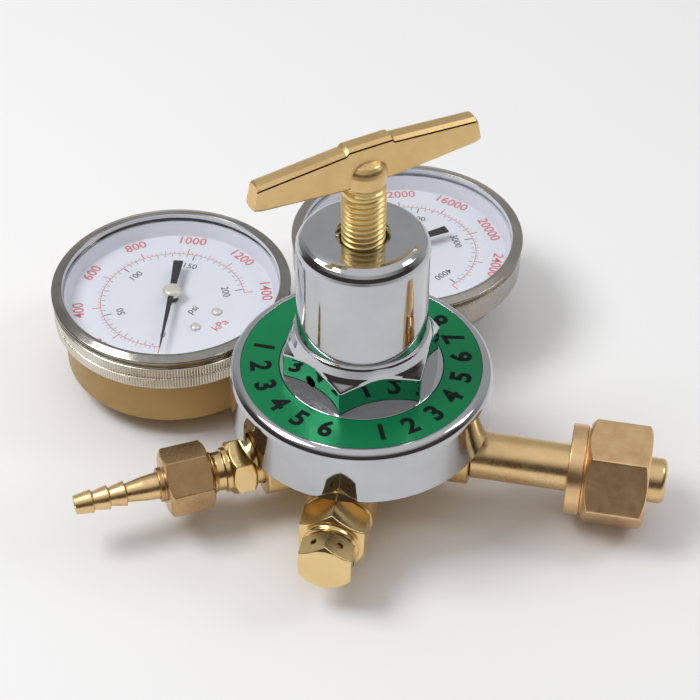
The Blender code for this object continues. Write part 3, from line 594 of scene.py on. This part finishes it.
# ------------------------------------------------------------------ body and bonnet
def regulator_body():
    """The forging: a hub, a wide rim and five bosses, run together with soft fillets, then the
    machined port faces and sockets."""
    hub = rounded([(0, 35.9), (33.3, 35.9), (33.3, 29.2), (30.5, 27.5), (23.5, 24.5),
                   (20.5, 22.0, 1.0), (20.5, 13.0, 2.0), (19.0, 9.0, 2.0), (15.5, 6.0, 2.0),
                   (11.0, 4.5, 0.6), (11.0, 0.0, 0.5), (0, 0.0)], 0.6)
    body = lathe("body_forging", hub, steps=128)
    for angle in (INLET, HIGH_PORT, LOW_PORT, OUTLET, RELIEF):
        radius = 9.0 if angle == INLET else 9.8
        face = OUTLET_REACH if angle == OUTLET else PORT_REACH
        boss = lathe("boss", rounded([(0, face), (radius, face), (radius, 8.0), (0, 8.0)], 0.8),
                     steps=72)
        boss.matrix_world = port(angle)
        boolean(body, boss, "UNION")
    cut_bowl = lathe("bowl", [(0, 40.0), (28.0, 40.0), (28.0, 33.0), (25.0, 30.0), (0, 30.0)],
                     steps=96)
    boolean(body, cut_bowl)
    for angle in (HIGH_PORT, LOW_PORT, OUTLET, RELIEF, INLET):
        bore = lathe("bore", [(0, 35.0), (7.4, 35.0), (6.5, 32.3), (6.5, 24.0), (0, 24.0)],
                     steps=64)
        bore.matrix_world = port(angle)
        boolean(body, bore)
    sharpen(body, 30)
    bevelled(body, 0.0004, 32, harden=True)
    finish_piece(body, "brass_cast", "housing", ["regulator_body"])


def bonnet():
    tower = [(7.5, 93.4, 0.15), (18.2, 93.4, 4.5), (18.2, 62.3, 0.1), (17.9, 62.0, 0.1),
             (18.2, 61.7, 0.1), (18.8, 61.5, 0.15), (19.1, 60.9, 0.3), (19.9, 58.7, 1.0),
             (20.7, 57.3, 1.5), (23.0, 55.1, 0.2), (23.0, 47.0, 0.05),
             (23.1, 46.95, 0.05), (23.25, 46.4, 0.1), (34.15, 46.4, 0.1), (34.2, 47.1, 0.1)]
    tower += [(34.3 + 3.0 * math.sin(a), 44.2 + 3.0 * math.cos(a), 0)
              for a in np.radians(np.arange(5, 91, 8.5))]
    tower += [(37.3, 29.0, 0.5), (36.6, 28.3, 0.3)]
    inner = [(33.8, 28.3, 0.2), (33.8, 38.7), (30.0, 38.7), (30.0, 41.0), (26.0, 42.5),
             (14.5, 48.0), (14.5, 80.0), (6.35, 81.8), (6.35, 92.2, 0.1)]
    outline = dense(rounded(tower + inner, 0.3, closed=True), 55.0, 60.8, 0.12)
    shell = lathe("bonnet_shell", outline, closed=True, hexes=[(47.01, 60.9, 19.8)],
                  turn=BONNET_TURN, sharp=95.0)
    vent = lathe("vent", rounded([(0, 26.0), (1.8, 26.0), (1.8, 12.0), (0, 12.0)]), steps=40)
    vent.matrix_world = (Matrix.Translation((0, 0, 0.0525))
                         @ spin(BONNET_TURN - 150, "Z") @ spin(90, "Y"))
    boolean(shell, vent)
    sharpen(shell, 32)
    finish_piece(shell, "chrome", "housing", ["bonnet"])


def label_ring():
    """The green label, with a plain scale of numbers round it."""
    plate = lathe("label_plate", rounded([(23.35, 47.0), (34.1, 47.0), (34.1, 46.7),
                                          (23.35, 46.7)], 0.06, closed=True), steps=200,
                  closed=True)
    finish_piece(plate, "green", "housing", ["label_ring"])
    prints = []
    for first, step, texts in ((178.0, 16.6, "123456"), (292.0, 16.8, "123456789")):
        for index, text in enumerate(texts):
            angle = first + step * index
            prints.append(printed(text, 6.0, 28.7, angle, LABEL_LEVEL, angle + 90, 0.30))
    scale = merge("label_scale", *prints)
    finish_piece(scale, "ink_black", "housing")


# ------------------------------------------------------------------ printing
def printed(text, height, radius, angle, level, facing, bold):
    """Flat lettering, its middle at the polar place given and its text running along facing,
    which is the direction of its baseline in degrees."""
    curve = bpy.data.curves.new("print", "FONT")
    curve.body = text
    curve.size = height * 1.36 * MM
    curve.align_x = "CENTER"
    curve.align_y = "CENTER"
    curve.extrude = 0.010 * MM
    curve.offset = bold * MM
    curve.resolution_u = 3
    carrier = show(bpy.data.objects.new("print", curve))
    bpy.context.view_layer.update()
    graph = bpy.context.evaluated_depsgraph_get()
    mesh = bpy.data.meshes.new_from_object(carrier.evaluated_get(graph))
    bpy.data.objects.remove(carrier, do_unlink=True)
    made = show(bpy.data.objects.new("print", mesh))
    a = math.radians(angle)
    made.matrix_world = (Matrix.Translation((radius * MM * math.cos(a),
                                             radius * MM * math.sin(a), (level + 0.012) * MM))
                         @ spin(facing, "Z"))
    bpy.context.view_layer.update()
    return made


def printed_bars(name, bars, level):
    """Thin straight marks: each is (angle, inner radius, outer radius, width)."""
    verts, faces = [], []
    low, high = level * MM, (level + PRINT_HEIGHT) * MM
    for angle, inner, outer, width in bars:
        a = math.radians(angle)
        along, across = Vector((math.cos(a), math.sin(a))), Vector((-math.sin(a), math.cos(a)))
        corners = [along * inner - across * width / 2, along * outer - across * width / 2,
                   along * outer + across * width / 2, along * inner + across * width / 2]
        base = len(verts)
        verts += [(c.x * MM, c.y * MM, z) for z in (low, high) for c in corners]
        quads = ((3, 2, 1, 0), (4, 5, 6, 7), (0, 1, 5, 4), (1, 2, 6, 5), (2, 3, 7, 6),
                 (3, 0, 4, 7))
        faces += [tuple(base + k for k in quad) for quad in quads]
    return sharpen(mesh_object(name, verts, faces))


def printed_arc(name, radius, width, start, end, level):
    """A thin curved line between two angles."""
    count = max(8, int(abs(end - start) / 2))
    verts, faces = [], []
    for k in range(count + 1):
        a = math.radians(start + (end - start) * k / count)
        for reach in (radius - width / 2, radius + width / 2):
            for z in (level, level + PRINT_HEIGHT):
                verts.append((reach * MM * math.cos(a), reach * MM * math.sin(a), z * MM))
    for k in range(count):
        b = 4 * k
        for p, q in ((0, 1), (1, 3), (3, 2), (2, 0)):
            faces.append((b + p, b + q, b + 4 + q, b + 4 + p))
    faces += [(0, 2, 3, 1), (4 * count, 4 * count + 1, 4 * count + 3, 4 * count + 2)]
    made = mesh_object(name, verts, faces)
    fix_normals(made)
    return sharpen(made)


def fix_normals(obj):
    bm = bmesh.new()
    bm.from_mesh(obj.data)
    bmesh.ops.recalc_face_normals(bm, faces=bm.faces)
    bm.to_mesh(obj.data)
    bm.free()


# ------------------------------------------------------------------ screw and handle
def adjusting_screw():
    """The screw with its real thread: a rounded V that winds up the shank."""
    pitch, crest, root = 1.75, 6.0, 5.15
    low, high = 83.0, 108.2
    rows = int((high - low) / pitch * 14)
    steps = 72
    angles = np.linspace(0, TAU, steps, endpoint=False)
    verts, faces = [], []

    def ring_of(radii, height):
        start = len(verts)
        for a, r in zip(angles, radii):
            verts.append((r * math.cos(a) * MM, r * math.sin(a) * MM, height * MM))
        return list(range(start, start + steps))

    rings = []
    for radius, height in ((3.3, 113.6), (3.3, 110.55), (5.2, 110.5), (5.35, 110.4),
                           (5.35, 110.2), (5.1, 110.1), (5.0, 110.0), (5.0, 109.35),
                           (5.1, 109.2), (5.65, 109.0), (5.85, 108.8), (5.85, 108.5)):
        rings.append(ring_of([radius] * steps, height))
    for row in range(rows + 1):
        height = high - (high - low) * row / rows
        phase = (height / pitch - angles / TAU) % 1.0
        wave = 0.5 + 0.5 * np.cos(phase * TAU)
        fade = min(1.0, (high - height) / 1.2 + 0.15, (height - low) / 1.5 + 0.1)
        radii = root + (crest - root) * (1 - fade + fade * np.clip(wave * 1.25 - 0.1, 0, 1))
        rings.append(ring_of(np.minimum(radii, crest), height))
    for radius, height in ((5.2, 82.4), (2.4, 79.8), (2.0, 79.5)):
        rings.append(ring_of([radius] * steps, height))
    top, bottom = len(verts), len(verts) + 1
    verts += [(0, 0, 113.6 * MM), (0, 0, 79.5 * MM)]
    for upper, lower in zip(rings, rings[1:]):
        for i in range(steps):
            j = (i + 1) % steps
            faces.append((upper[i], lower[i], lower[j], upper[j]))
    for i in range(steps):
        j = (i + 1) % steps
        faces.append((top, rings[0][i], rings[0][j]))
        faces.append((rings[-1][i], bottom, rings[-1][j]))
    screw = sharpen(mesh_object("screw_thread", verts, faces), 60)
    finish_piece(screw, "brass_screw", "screw", ["adjusting_screw"])


def t_handle():
    """A cast bar that is deeper in its middle, with a raised pad, a groove under its top edge
    with painted shade on that groove's faces, and a neck that slopes into its sides."""
    draft = 1.4
    stations = [(-31.4, 113.8, 120.35, 0.4), (-30.9, 113.4, 120.8, 0), (-6.6, 111.1, 122.9, 0),
                (-5.7, 111.1, 123.7, 0), (6.7, 111.1, 123.7, 0), (7.5, 111.1, 122.9, 0),
                (32.0, 113.3, 121.05, 0), (32.5, 113.7, 120.6, 0.4)]
    verts, faces, rings = [], [], []
    for x, low, high, ease in stations:
        side = [(1.2, low), (2.45, low + 0.25), (2.8, low + 0.9),
                (2.6, high - 1.15), (2.15, high - 1.05), (2.15, high - 0.80),
                (2.5, high - 0.68), (1.35, high)]
        side = [(w - ease * 0.8, z) for w, z in side]
        loop = side + [(-w, z) for w, z in reversed(side)]
        start = len(verts)
        for w, z in loop:
            lean = draft * (high - z) / 7.0 if ease else 0.0
            verts.append(((x + math.copysign(lean, x)) * MM, w * MM, z * MM))
        rings.append(list(range(start, start + len(loop))))
    grooves = []
    for first, second in zip(rings, rings[1:]):
        for i in range(len(first)):
            j = (i + 1) % len(first)
            if i in (3, 4, 5, 9, 10, 11):
                grooves.append(len(faces))
            faces.append((first[i], second[i], second[j], first[j]))
    faces += [tuple(rings[0]), tuple(reversed(rings[-1]))]
    bar = mesh_object("handle_bar", verts, faces)
    # The groove's faces take a near-black brown: painted shade in the groove.
    for look in ("brass_cast", "tarnish"):
        bar.data.materials.append(LOOKS[look])
    for index in grooves:
        bar.data.polygons[index].material_index = 1
    fix_normals(bar)
    neck = lathe("neck", rounded([(0, 118.7), (2.8, 118.3, 1.5), (4.5, 117.4, 1.8),
                                  (5.6, 116.2, 2.0), (6.1, 114.6, 2.0), (6.0, 113.2, 0.3),
                                  (5.85, 110.65, 0.5), (0, 110.65)], 0.1), steps=96)
    neck.data.materials.append(LOOKS["brass_cast"])
    boolean(bar, neck, "UNION")
    bore = lathe("spigot_bore", [(0, 113.9), (3.55, 113.9), (3.55, 110.0), (0, 110.0)], steps=64)
    boolean(bar, bore)
    sharpen(bar, 25)
    bevelled(bar, 0.00028, 28)
    bar.data.shade_smooth()
    weighted = bar.modifiers.new("normals", "WEIGHTED_NORMAL")
    weighted.weight = 90
    bake(bar)
    bar.matrix_world = spin(HANDLE_TURN, "Z")
    finish_piece(bar, None, "screw", ["t_handle"])


# ------------------------------------------------------------------ inlet
def inlet():
    at = port(INLET)
    stem = rounded([(3.1, 89.1, 0.3), (6.5, 89.1, 2.6), (6.6, 80.0), (9.8, 76.5, 0.8),
                    (9.8, 73.0, 0.4), (6.9, 72.5), (6.9, 33.4, 0.3), (6.2, 33.1),
                    (6.2, 24.2), (2.5, 24.2), (2.5, 83.0), (3.1, 83.2)], 0.4, closed=True)
    nipple = lathe("inlet_stem", stem, steps=160, closed=True)
    finish_piece(sharpen(nipple, 40), "brass", "housing", ["inlet_nipple"], at)
    plug = lathe("inlet_filter_plug", rounded([(0, 88.0), (1.8, 87.7), (2.7, 86.8, 0.3),
                                               (2.7, 83.6), (0, 83.6)], 0.5), steps=64)
    finish_piece(plug, "brass_cast", "housing", ["inlet_filter"], at)
    outer = [(13.35, 84.0, 0.35), (15.9, 82.7, 0.3), (15.9, 67.9, 0.3), (13.4, 66.3, 0.25),
             (12.35, 66.25, 0.2), (12.35, 65.7, 0.2), (13.1, 65.5, 0.3), (13.1, 61.2, 0.45),
             (7.3, 61.2, 0.3), (7.3, 68.0, 0.2), (10.5, 68.0, 0.2), (11.0, 69.0, 0.2),
             (11.2, 69.4, 0.1)]
    threads = []
    z = 70.2
    while z < 82.6:
        threads += [(11.2, z, 0.05), (11.75, z + 0.85, 0.12)]
        z += 1.7
    threads += [(11.2, 83.0, 0.1), (11.9, 84.0, 0.2)]
    nut = hex_lathe("inlet_nut_body", outer + threads, 66.2, 84.1, 0.16, (66.27, 83.98, 13.7))
    finish_piece(sharpen(nut, 38), "brass_worn", "inlet_nut", ["inlet_nut"],
                 port(INLET, INLET_NUT_TURN))


# ------------------------------------------------------------------ outlet
def outlet():
    at = port(OUTLET, OUTLET_BUSHING_TURN)
    threads = []
    z = 51.6
    while z > 43.4:
        threads += [(6.15, z, 0.25), (5.6, z - 1.05, 0.3)]
        z -= 2.1
    profile = [(2.2, 52.5, 0.2), (4.6, 52.5, 0.2)] + threads + \
        [(5.7, 42.2, 0.2), (6.5, 41.9, 0.3), (6.5, 40.6, 0.1), (6.9, 40.5, 0.2),
         (8.9, 38.9, 0.2), (8.9, 34.9, 0.2), (7.0, 33.4, 0.2), (6.2, 33.2), (6.2, 24.3),
         (2.2, 24.3)]
    bushing = hex_lathe("outlet_bushing_body", profile, 33.4, 40.6, 0.14, (33.45, 40.45, 7.5))
    finish_piece(sharpen(bushing, 38), "brass_hex", "housing", ["outlet_bushing"], at)

    profile = [(4.1, 61.1, 0.2), (5.0, 61.1, 0.35), (5.0, 59.5, 0.3), (8.5, 59.3, 0.25),
               (10.3, 58.2, 0.2), (10.3, 47.2, 0.2), (8.5, 46.2, 0.25), (6.9, 46.2, 0.3),
               (6.65, 46.8, 0.1), (6.65, 56.2), (4.1, 57.2)]
    nut = hex_lathe("outlet_nut_body", profile, 46.1, 59.6, 0.16, (46.22, 59.27, 8.75))
    finish_piece(sharpen(nut, 38), "brass_dull", "outlet_nut", ["outlet_nut"],
                 port(OUTLET, OUTLET_NUT_TURN))

    outer = [(1.4, 85.3, 0.15), (2.7, 85.3, 0.25)]
    for index, peak in enumerate((3.45, 3.55, 3.65)):
        step = 80.5 - 4.8 * index
        outer += [(peak, step, 0.15), (peak - 0.1, step - 0.2, 0.1), (2.7, step - 0.5, 0.25)]
    outer += [(3.5, 65.5, 2.0), (3.8, 62.0), (3.8, 56.9), (6.2, 55.9), (6.2, 53.2), (1.4, 52.8)]
    barb = lathe("hose_barb_stem", rounded(outer, 0.2, closed=True), steps=96, closed=True)
    finish_piece(sharpen(barb, 40), "brass", "housing", ["hose_barb"], at)


# ------------------------------------------------------------------ relief valve
def relief():
    at = port(RELIEF)
    outer = [(3.9, 48.5, 0.2), (5.3, 48.5, 0.2), (5.3, 44.5, 0.2), (7.2, 44.2, 0.3),
             (7.7, 43.9, 0.3), (7.9, 42.9, 0.25), (9.1, 42.8, 0.25), (10.75, 41.7, 0.25),
             (10.75, 34.3, 0.25), (9.0, 33.4, 0.25), (6.2, 33.2), (6.2, 24.3), (3.9, 24.3)]
    body = hex_lathe("relief_valve_body", outer, 33.4, 42.9, 0.15, (33.45, 42.78, 9.25))
    finish_piece(sharpen(body, 38), "brass_hex", "housing", ["relief_body"], at)

    outer = [(0, 52.2), (7.2, 52.2, 0.35), (8.7, 51.3, 0.25), (8.7, 45.5, 0.25),
             (7.3, 44.8, 0.25), (5.6, 44.8, 0.2), (5.6, 50.6, 0.2), (0, 50.6)]
    cap = hex_lathe("relief_valve_cap", outer, 44.7, 52.25, 0.14, (44.82, 52.18, 7.4), closed=False)
    for side in range(3):
        hole = lathe("vent", rounded([(0, 12.0), (0.95, 12.0), (0.95, -12.0), (0, -12.0)], 0.01),
                     steps=32)
        hole.matrix_world = (Matrix.Translation((0, 0, 0.0482))
                             @ spin(30 + 60 * side, "Z") @ spin(90, "Y"))
        boolean(cap, hole)
    finish_piece(sharpen(cap, 38), "brass_hex", "housing", ["relief_cap"], at)


# ------------------------------------------------------------------ gauges
def knurl(angles, radius, height):
    """Two rows of fine upright ribs round the bezel's band."""
    if radius < 36.2 or not (22.7 < height < 29.9) or abs(height - 26.3) < 0.16:
        return 0.0
    phase = (angles * 270 / TAU) % 1.0
    return 0.36 * (np.abs(phase * 2 - 1) - 0.9)


def give_bezel_looks(bezel, sheen):
    """Plated outside, with a gilt groove under the lip and white paint facing the dial."""
    for look in (sheen, "gold_line", "white"):
        bezel.data.materials.append(LOOKS[look])
    for face in bezel.data.polygons:
        height, reach = face.center.z / MM, math.hypot(*face.center[:2]) / MM
        if 30.9 < height < 32.2 and 35.5 < reach < 36.2:
            face.material_index = 1
        elif reach < 34.62 and height < 33.5:
            face.material_index = 2


def gauge_front(prefix, at, knurled):
    sheen = "warm_chrome" if knurled else "nickel"
    lip = [(33.4, 33.2, 0.1), (33.6, 33.85, 0.3), (34.5, 34.0, 0.8), (36.9, 33.0, 0.9),
           (36.8, 32.35, 0.3), (35.9, 32.15, 0.15)]
    groove = [(35.85, 30.95, 0.15)]
    if knurled:
        step = [(36.35, 30.75, 0.1), (36.4, 30.4, 0.1), (36.1, 30.25, 0.1)]
    else:
        step = [(36.6, 30.7, 0.25)]
    foot = [(36.55, 30.15, 0.1), (36.55, 22.6, 0.3), (34.5, 22.4, 0.2), (34.5, 32.2),
            (33.4, 32.2, 0.1)]
    if knurled:
        ring = [(36.1, 30.2), (35.0, 30.2), (35.0, 31.9), (34.6, 31.9), (34.6, 32.2),
                (33.4, 32.2, 0.1)]
        front = lathe(prefix + "bezel_lip", rounded(lip + groove + step + ring, 0.1, closed=True),
                      steps=256, closed=True)
        give_bezel_looks(front, sheen)
        band = [(36.1, 30.15), (36.55, 30.0), (36.6, 29.92), (36.6, 29.85), (36.6, 26.5),
                (36.6, 26.42), (36.35, 26.3), (36.6, 26.18), (36.6, 26.1), (36.6, 22.85),
                (36.6, 22.75), (36.4, 22.5), (36.1, 22.42), (34.5, 22.42), (34.5, 30.15)]
        ribs = lathe(prefix + "band", band, steps=270 * 6, closed=True, ripple=knurl)
        ribs.data.materials.append(LOOKS["knurl"])
        bezel = merge(prefix + "bezel_ring", front, ribs)
    else:
        bezel = lathe(prefix + "bezel_ring", rounded(lip + groove + step + foot, 0.15,
                                                     closed=True), steps=256, closed=True)
        give_bezel_looks(bezel, sheen)
    finish_piece(sharpen(bezel, 40), None, "housing", [prefix + "bezel"], at)
    dome = [(0, 33.3), (18.0, 32.75), (31.0, 31.9, 0.3), (34.4, 31.9, 0.1), (34.4, 30.9, 0.1),
            (31.0, 30.9, 0.3), (18.0, 31.8), (0, 32.3)]
    lens = lathe(prefix + "lens_dome", rounded(dome, 12.0), steps=160)
    finish_piece(lens, "glass", "housing", [prefix + "lens"], at)


def gauge_case(prefix, at, knurled):
    if knurled:
        outer = [(34.1, 29.4, 0.1), (34.1, 6.2, 1.6), (0, 6.2)]
        inner = [(0, 7.1), (33.2, 7.1, 1.0), (33.2, 29.4, 0.1)]
    else:
        outer = [(34.1, 29.4, 0.1), (34.1, 20.5, 6.0), (32.5, 16.5, 5.0), (29.5, 12.8, 6.0),
                 (25.0, 9.8, 6.0), (19.5, 7.8, 5.0), (0, 7.8)]
        inner = [(0, 8.5), (19.0, 8.5, 5.0), (24.3, 10.5, 5.0), (28.7, 13.5, 5.0),
                 (31.6, 17.2, 5.0), (33.2, 21.2, 5.0), (33.2, 29.4, 0.1)]
    can = lathe(prefix + "case_can", rounded(outer, 0.2) + rounded(inner, 0.2), steps=192,
                closed=True)
    hole = lathe("hole", [(0, 38.0), (5.5, 38.0), (5.5, 26.0), (0, 26.0)], steps=48)
    hole.matrix_world = stem_frame()
    boolean(can, hole)
    look = "ochre" if knurled else "nickel"
    finish_piece(sharpen(can, 40), look, "housing", [prefix + "case"], at)


def stem_frame():
    return Matrix.Translation((0, 0, PORT_HEIGHT * MM)) @ spin(90, "X")


def gauge_socket(prefix, at):
    shape = [(1.2, 53.1), (6.2, 53.1, 0.3), (6.2, 44.3, 0.2), (6.9, 43.7, 0.2),
             (8.2, 43.0, 0.2), (8.2, 38.1, 0.2), (6.9, 37.3, 0.2), (5.0, 37.2, 0.3),
             (5.0, 25.6), (1.2, 25.6)]
    stem = hex_lathe(prefix + "stem", shape, 37.2, 43.8, 0.14, (37.25, 43.6, 6.9))
    finish_piece(sharpen(stem, 38), "brass_hex", "housing", [prefix + "socket"],
                 at @ stem_frame())


def ticks(step, count, edge, ends, widths):
    """Dial marks that run on from zero. Every tenth is long and every fifth of middle length."""
    bars = []
    for k in range(count + 1):
        rank = 0 if k % 10 == 0 else (1 if k % 5 == 0 else 2)
        inner, outer = sorted((edge, ends[rank]))
        bars.append((DIAL_ZERO - step * k, inner, outer, widths[rank > 0]))
    return printed_bars("bars", bars, DIAL_LEVEL)


def gauge_face(prefix, at, red_step, black_step):
    """The dial's card and its printing: a red scale outside, numbered by its step, and a black
    scale inside."""
    red_turn, black_turn = 36.5, 62.9
    level = DIAL_LEVEL
    card = lathe(prefix + "dial_pan", rounded([(1.7, level), (31.4, level, 0.5), (33.0, 30.8),
                                               (33.3, 30.8), (31.9, 25.7, 0.5), (1.7, 25.7)],
                                              0.08, closed=True), steps=160, closed=True)
    for side in (-1, 1):
        hole = lathe("hole", [(0, 27.0), (1.15, 27.0), (1.15, 25.0), (0, 25.0)], steps=32)
        hole.location = (side * DIAL_SCREW_X * MM, DIAL_SCREW_Y * MM, 0)
        boolean(card, hole)
    finish_piece(sharpen(card, 40), "white", "housing", [prefix + "dial"], at)
    marks = []
    for k in range(8):
        angle = DIAL_ZERO - red_turn * k
        marks.append(printed(str(red_step * k), 3.5, 29.0, angle, level, angle - 90, 0.05))
    marks.append(printed("kPa", 3.0, 19.6, 273.0, level, 0, 0.03))
    marks.append(printed_arc("arc", 22.3, 0.22, DIAL_ZERO, DIAL_ZERO - 7 * red_turn, level))
    marks.append(ticks(red_turn / 10, 70, 22.3, (25.0, 23.9, 23.3), (0.34, 0.16)))
    finish_piece(merge(prefix + "print_red", *marks), "ink_red", "housing", at=at)
    scale = [ticks(black_turn / 10, 40, 22.0, (19.6, 20.4, 20.9), (0.38, 0.17))]
    for k in range(5):
        angle = DIAL_ZERO - black_turn * k
        scale.append(printed(str(black_step * k), 2.4, 16.6, angle, level, angle - 90, 0.03))
    scale.append(printed("psi", 2.6, 8.2, 274.0, level, 0, 0.03))
    finish_piece(merge(prefix + "print_black", *scale), "ink_grey", "housing",
                 at=at)
    for name, side in (("left", -1), ("right", 1)):
        head = lathe(prefix + "rivet_" + name, rounded([(0, 27.35), (1.1, 27.2, 0.5),
                                                        (1.75, 26.6, 0.1), (0.9, 26.6, 0.1),
                                                        (0.9, 20.0), (0, 20.0)], 0.1), steps=48)
        head.matrix_world = Matrix.Translation((side * DIAL_SCREW_X * MM, DIAL_SCREW_Y * MM, 0))
        finish_piece(head, "hub", "housing", [prefix + "dial_screw_" + name], at)


def pointer(prefix, at):
    """The black needle with its broad tail, on a bright hub."""
    needle = [(26.2, 0.12), (24.0, 0.22), (3.0, 0.85), (0, 1.0), (-3.0, 0.95), (-14.2, 1.55),
              (-14.5, 1.45)]
    verts, faces = [], []
    for x, half in needle:
        for z in (29.62, 29.98):
            verts += [(x * MM, half * MM, z * MM), (x * MM, -half * MM, z * MM)]
    for k in range(len(needle) - 1):
        b = 4 * k
        for p, q in ((0, 1), (1, 3), (3, 2), (2, 0)):
            faces.append((b + p, b + q, b + 4 + q, b + 4 + p))
    end = 4 * (len(needle) - 1)
    faces += [(0, 2, 3, 1), (end, end + 1, end + 3, end + 2)]
    blade = mesh_object("needle", verts, faces)
    fix_normals(blade)
    sharpen(blade, 30)
    blade.data.materials.append(LOOKS["black"])
    cap = lathe("cap", rounded([(0, 30.95), (2.3, 30.8, 0.5), (2.9, 30.2, 0.2), (2.9, 28.8, 0.2),
                                (0, 28.8)], 0.2), steps=64)
    cap.data.materials.append(LOOKS["hub"])
    made = merge(prefix + "needle", blade, cap)
    finish_piece(made, None, prefix + "needle", [prefix + "pointer"],
                 at @ spin(POINTER_ANGLE, "Z"))


def gauge(prefix, angle, knurled, red_step, black_step):
    at = gauge_frame(angle)
    gauge_case(prefix, at, knurled)
    gauge_socket(prefix, at)
    gauge_front(prefix, at, knurled)
    gauge_face(prefix, at, red_step, black_step)
    pointer(prefix, at)


# ------------------------------------------------------------------ the inner CAD pieces
def inner_nodes():
    """The pieces that stay as the CAD has them get their metal, rubber or brass."""
    looks = {"steel": ("spring_button", "range_spring", "diaphragm_plate", "slip_ring",
                       "valve_spring", "relief_poppet", "relief_spring", "low_gauge_link",
                       "high_gauge_link"),
             "rubber": ("diaphragm",),
             "white": ("low_gauge_gasket", "high_gauge_gasket")}
    kinds = {node: look for look, nodes in looks.items() for node in nodes}
    for name, obj in NODES.items():
        if obj.hide_render:
            continue
        obj.data.materials.clear()
        obj.data.materials.append(LOOKS["inner_" + kinds.get(name, "brass")])


def giving_piece(name, node, wider=1.0):
    """A copy of an inner CAD piece, made wider across its axis by the given share, that
    stands in the node's place."""
    piece = show(bpy.data.objects.new(name, NODES[node].data.copy()))
    piece.data.transform(Matrix.Diagonal((wider, wider, 1.0, 1.0)))
    finish_piece(piece, None, "housing", [node])
    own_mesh(piece)


def giving_pieces():
    """Copies of the springs and the diaphragm stand in for their CAD nodes."""
    giving_piece("range_spring_coil", "range_spring",
                 wider=1.03)
    giving_piece("valve_spring_coil", "valve_spring")
    giving_piece("relief_spring_coil", "relief_spring")
    giving_piece("diaphragm_sheet", "diaphragm")


LOOKS = make_materials()
camera()
world()
studio()
regulator_body()
bonnet()
label_ring()
adjusting_screw()
t_handle()
inlet()
outlet()
relief()
gauge("low_gauge_", LOW_PORT, True, 200, 50)
gauge("high_gauge_", HIGH_PORT, False, 4000, 1000)
inner_nodes()
giving_pieces()
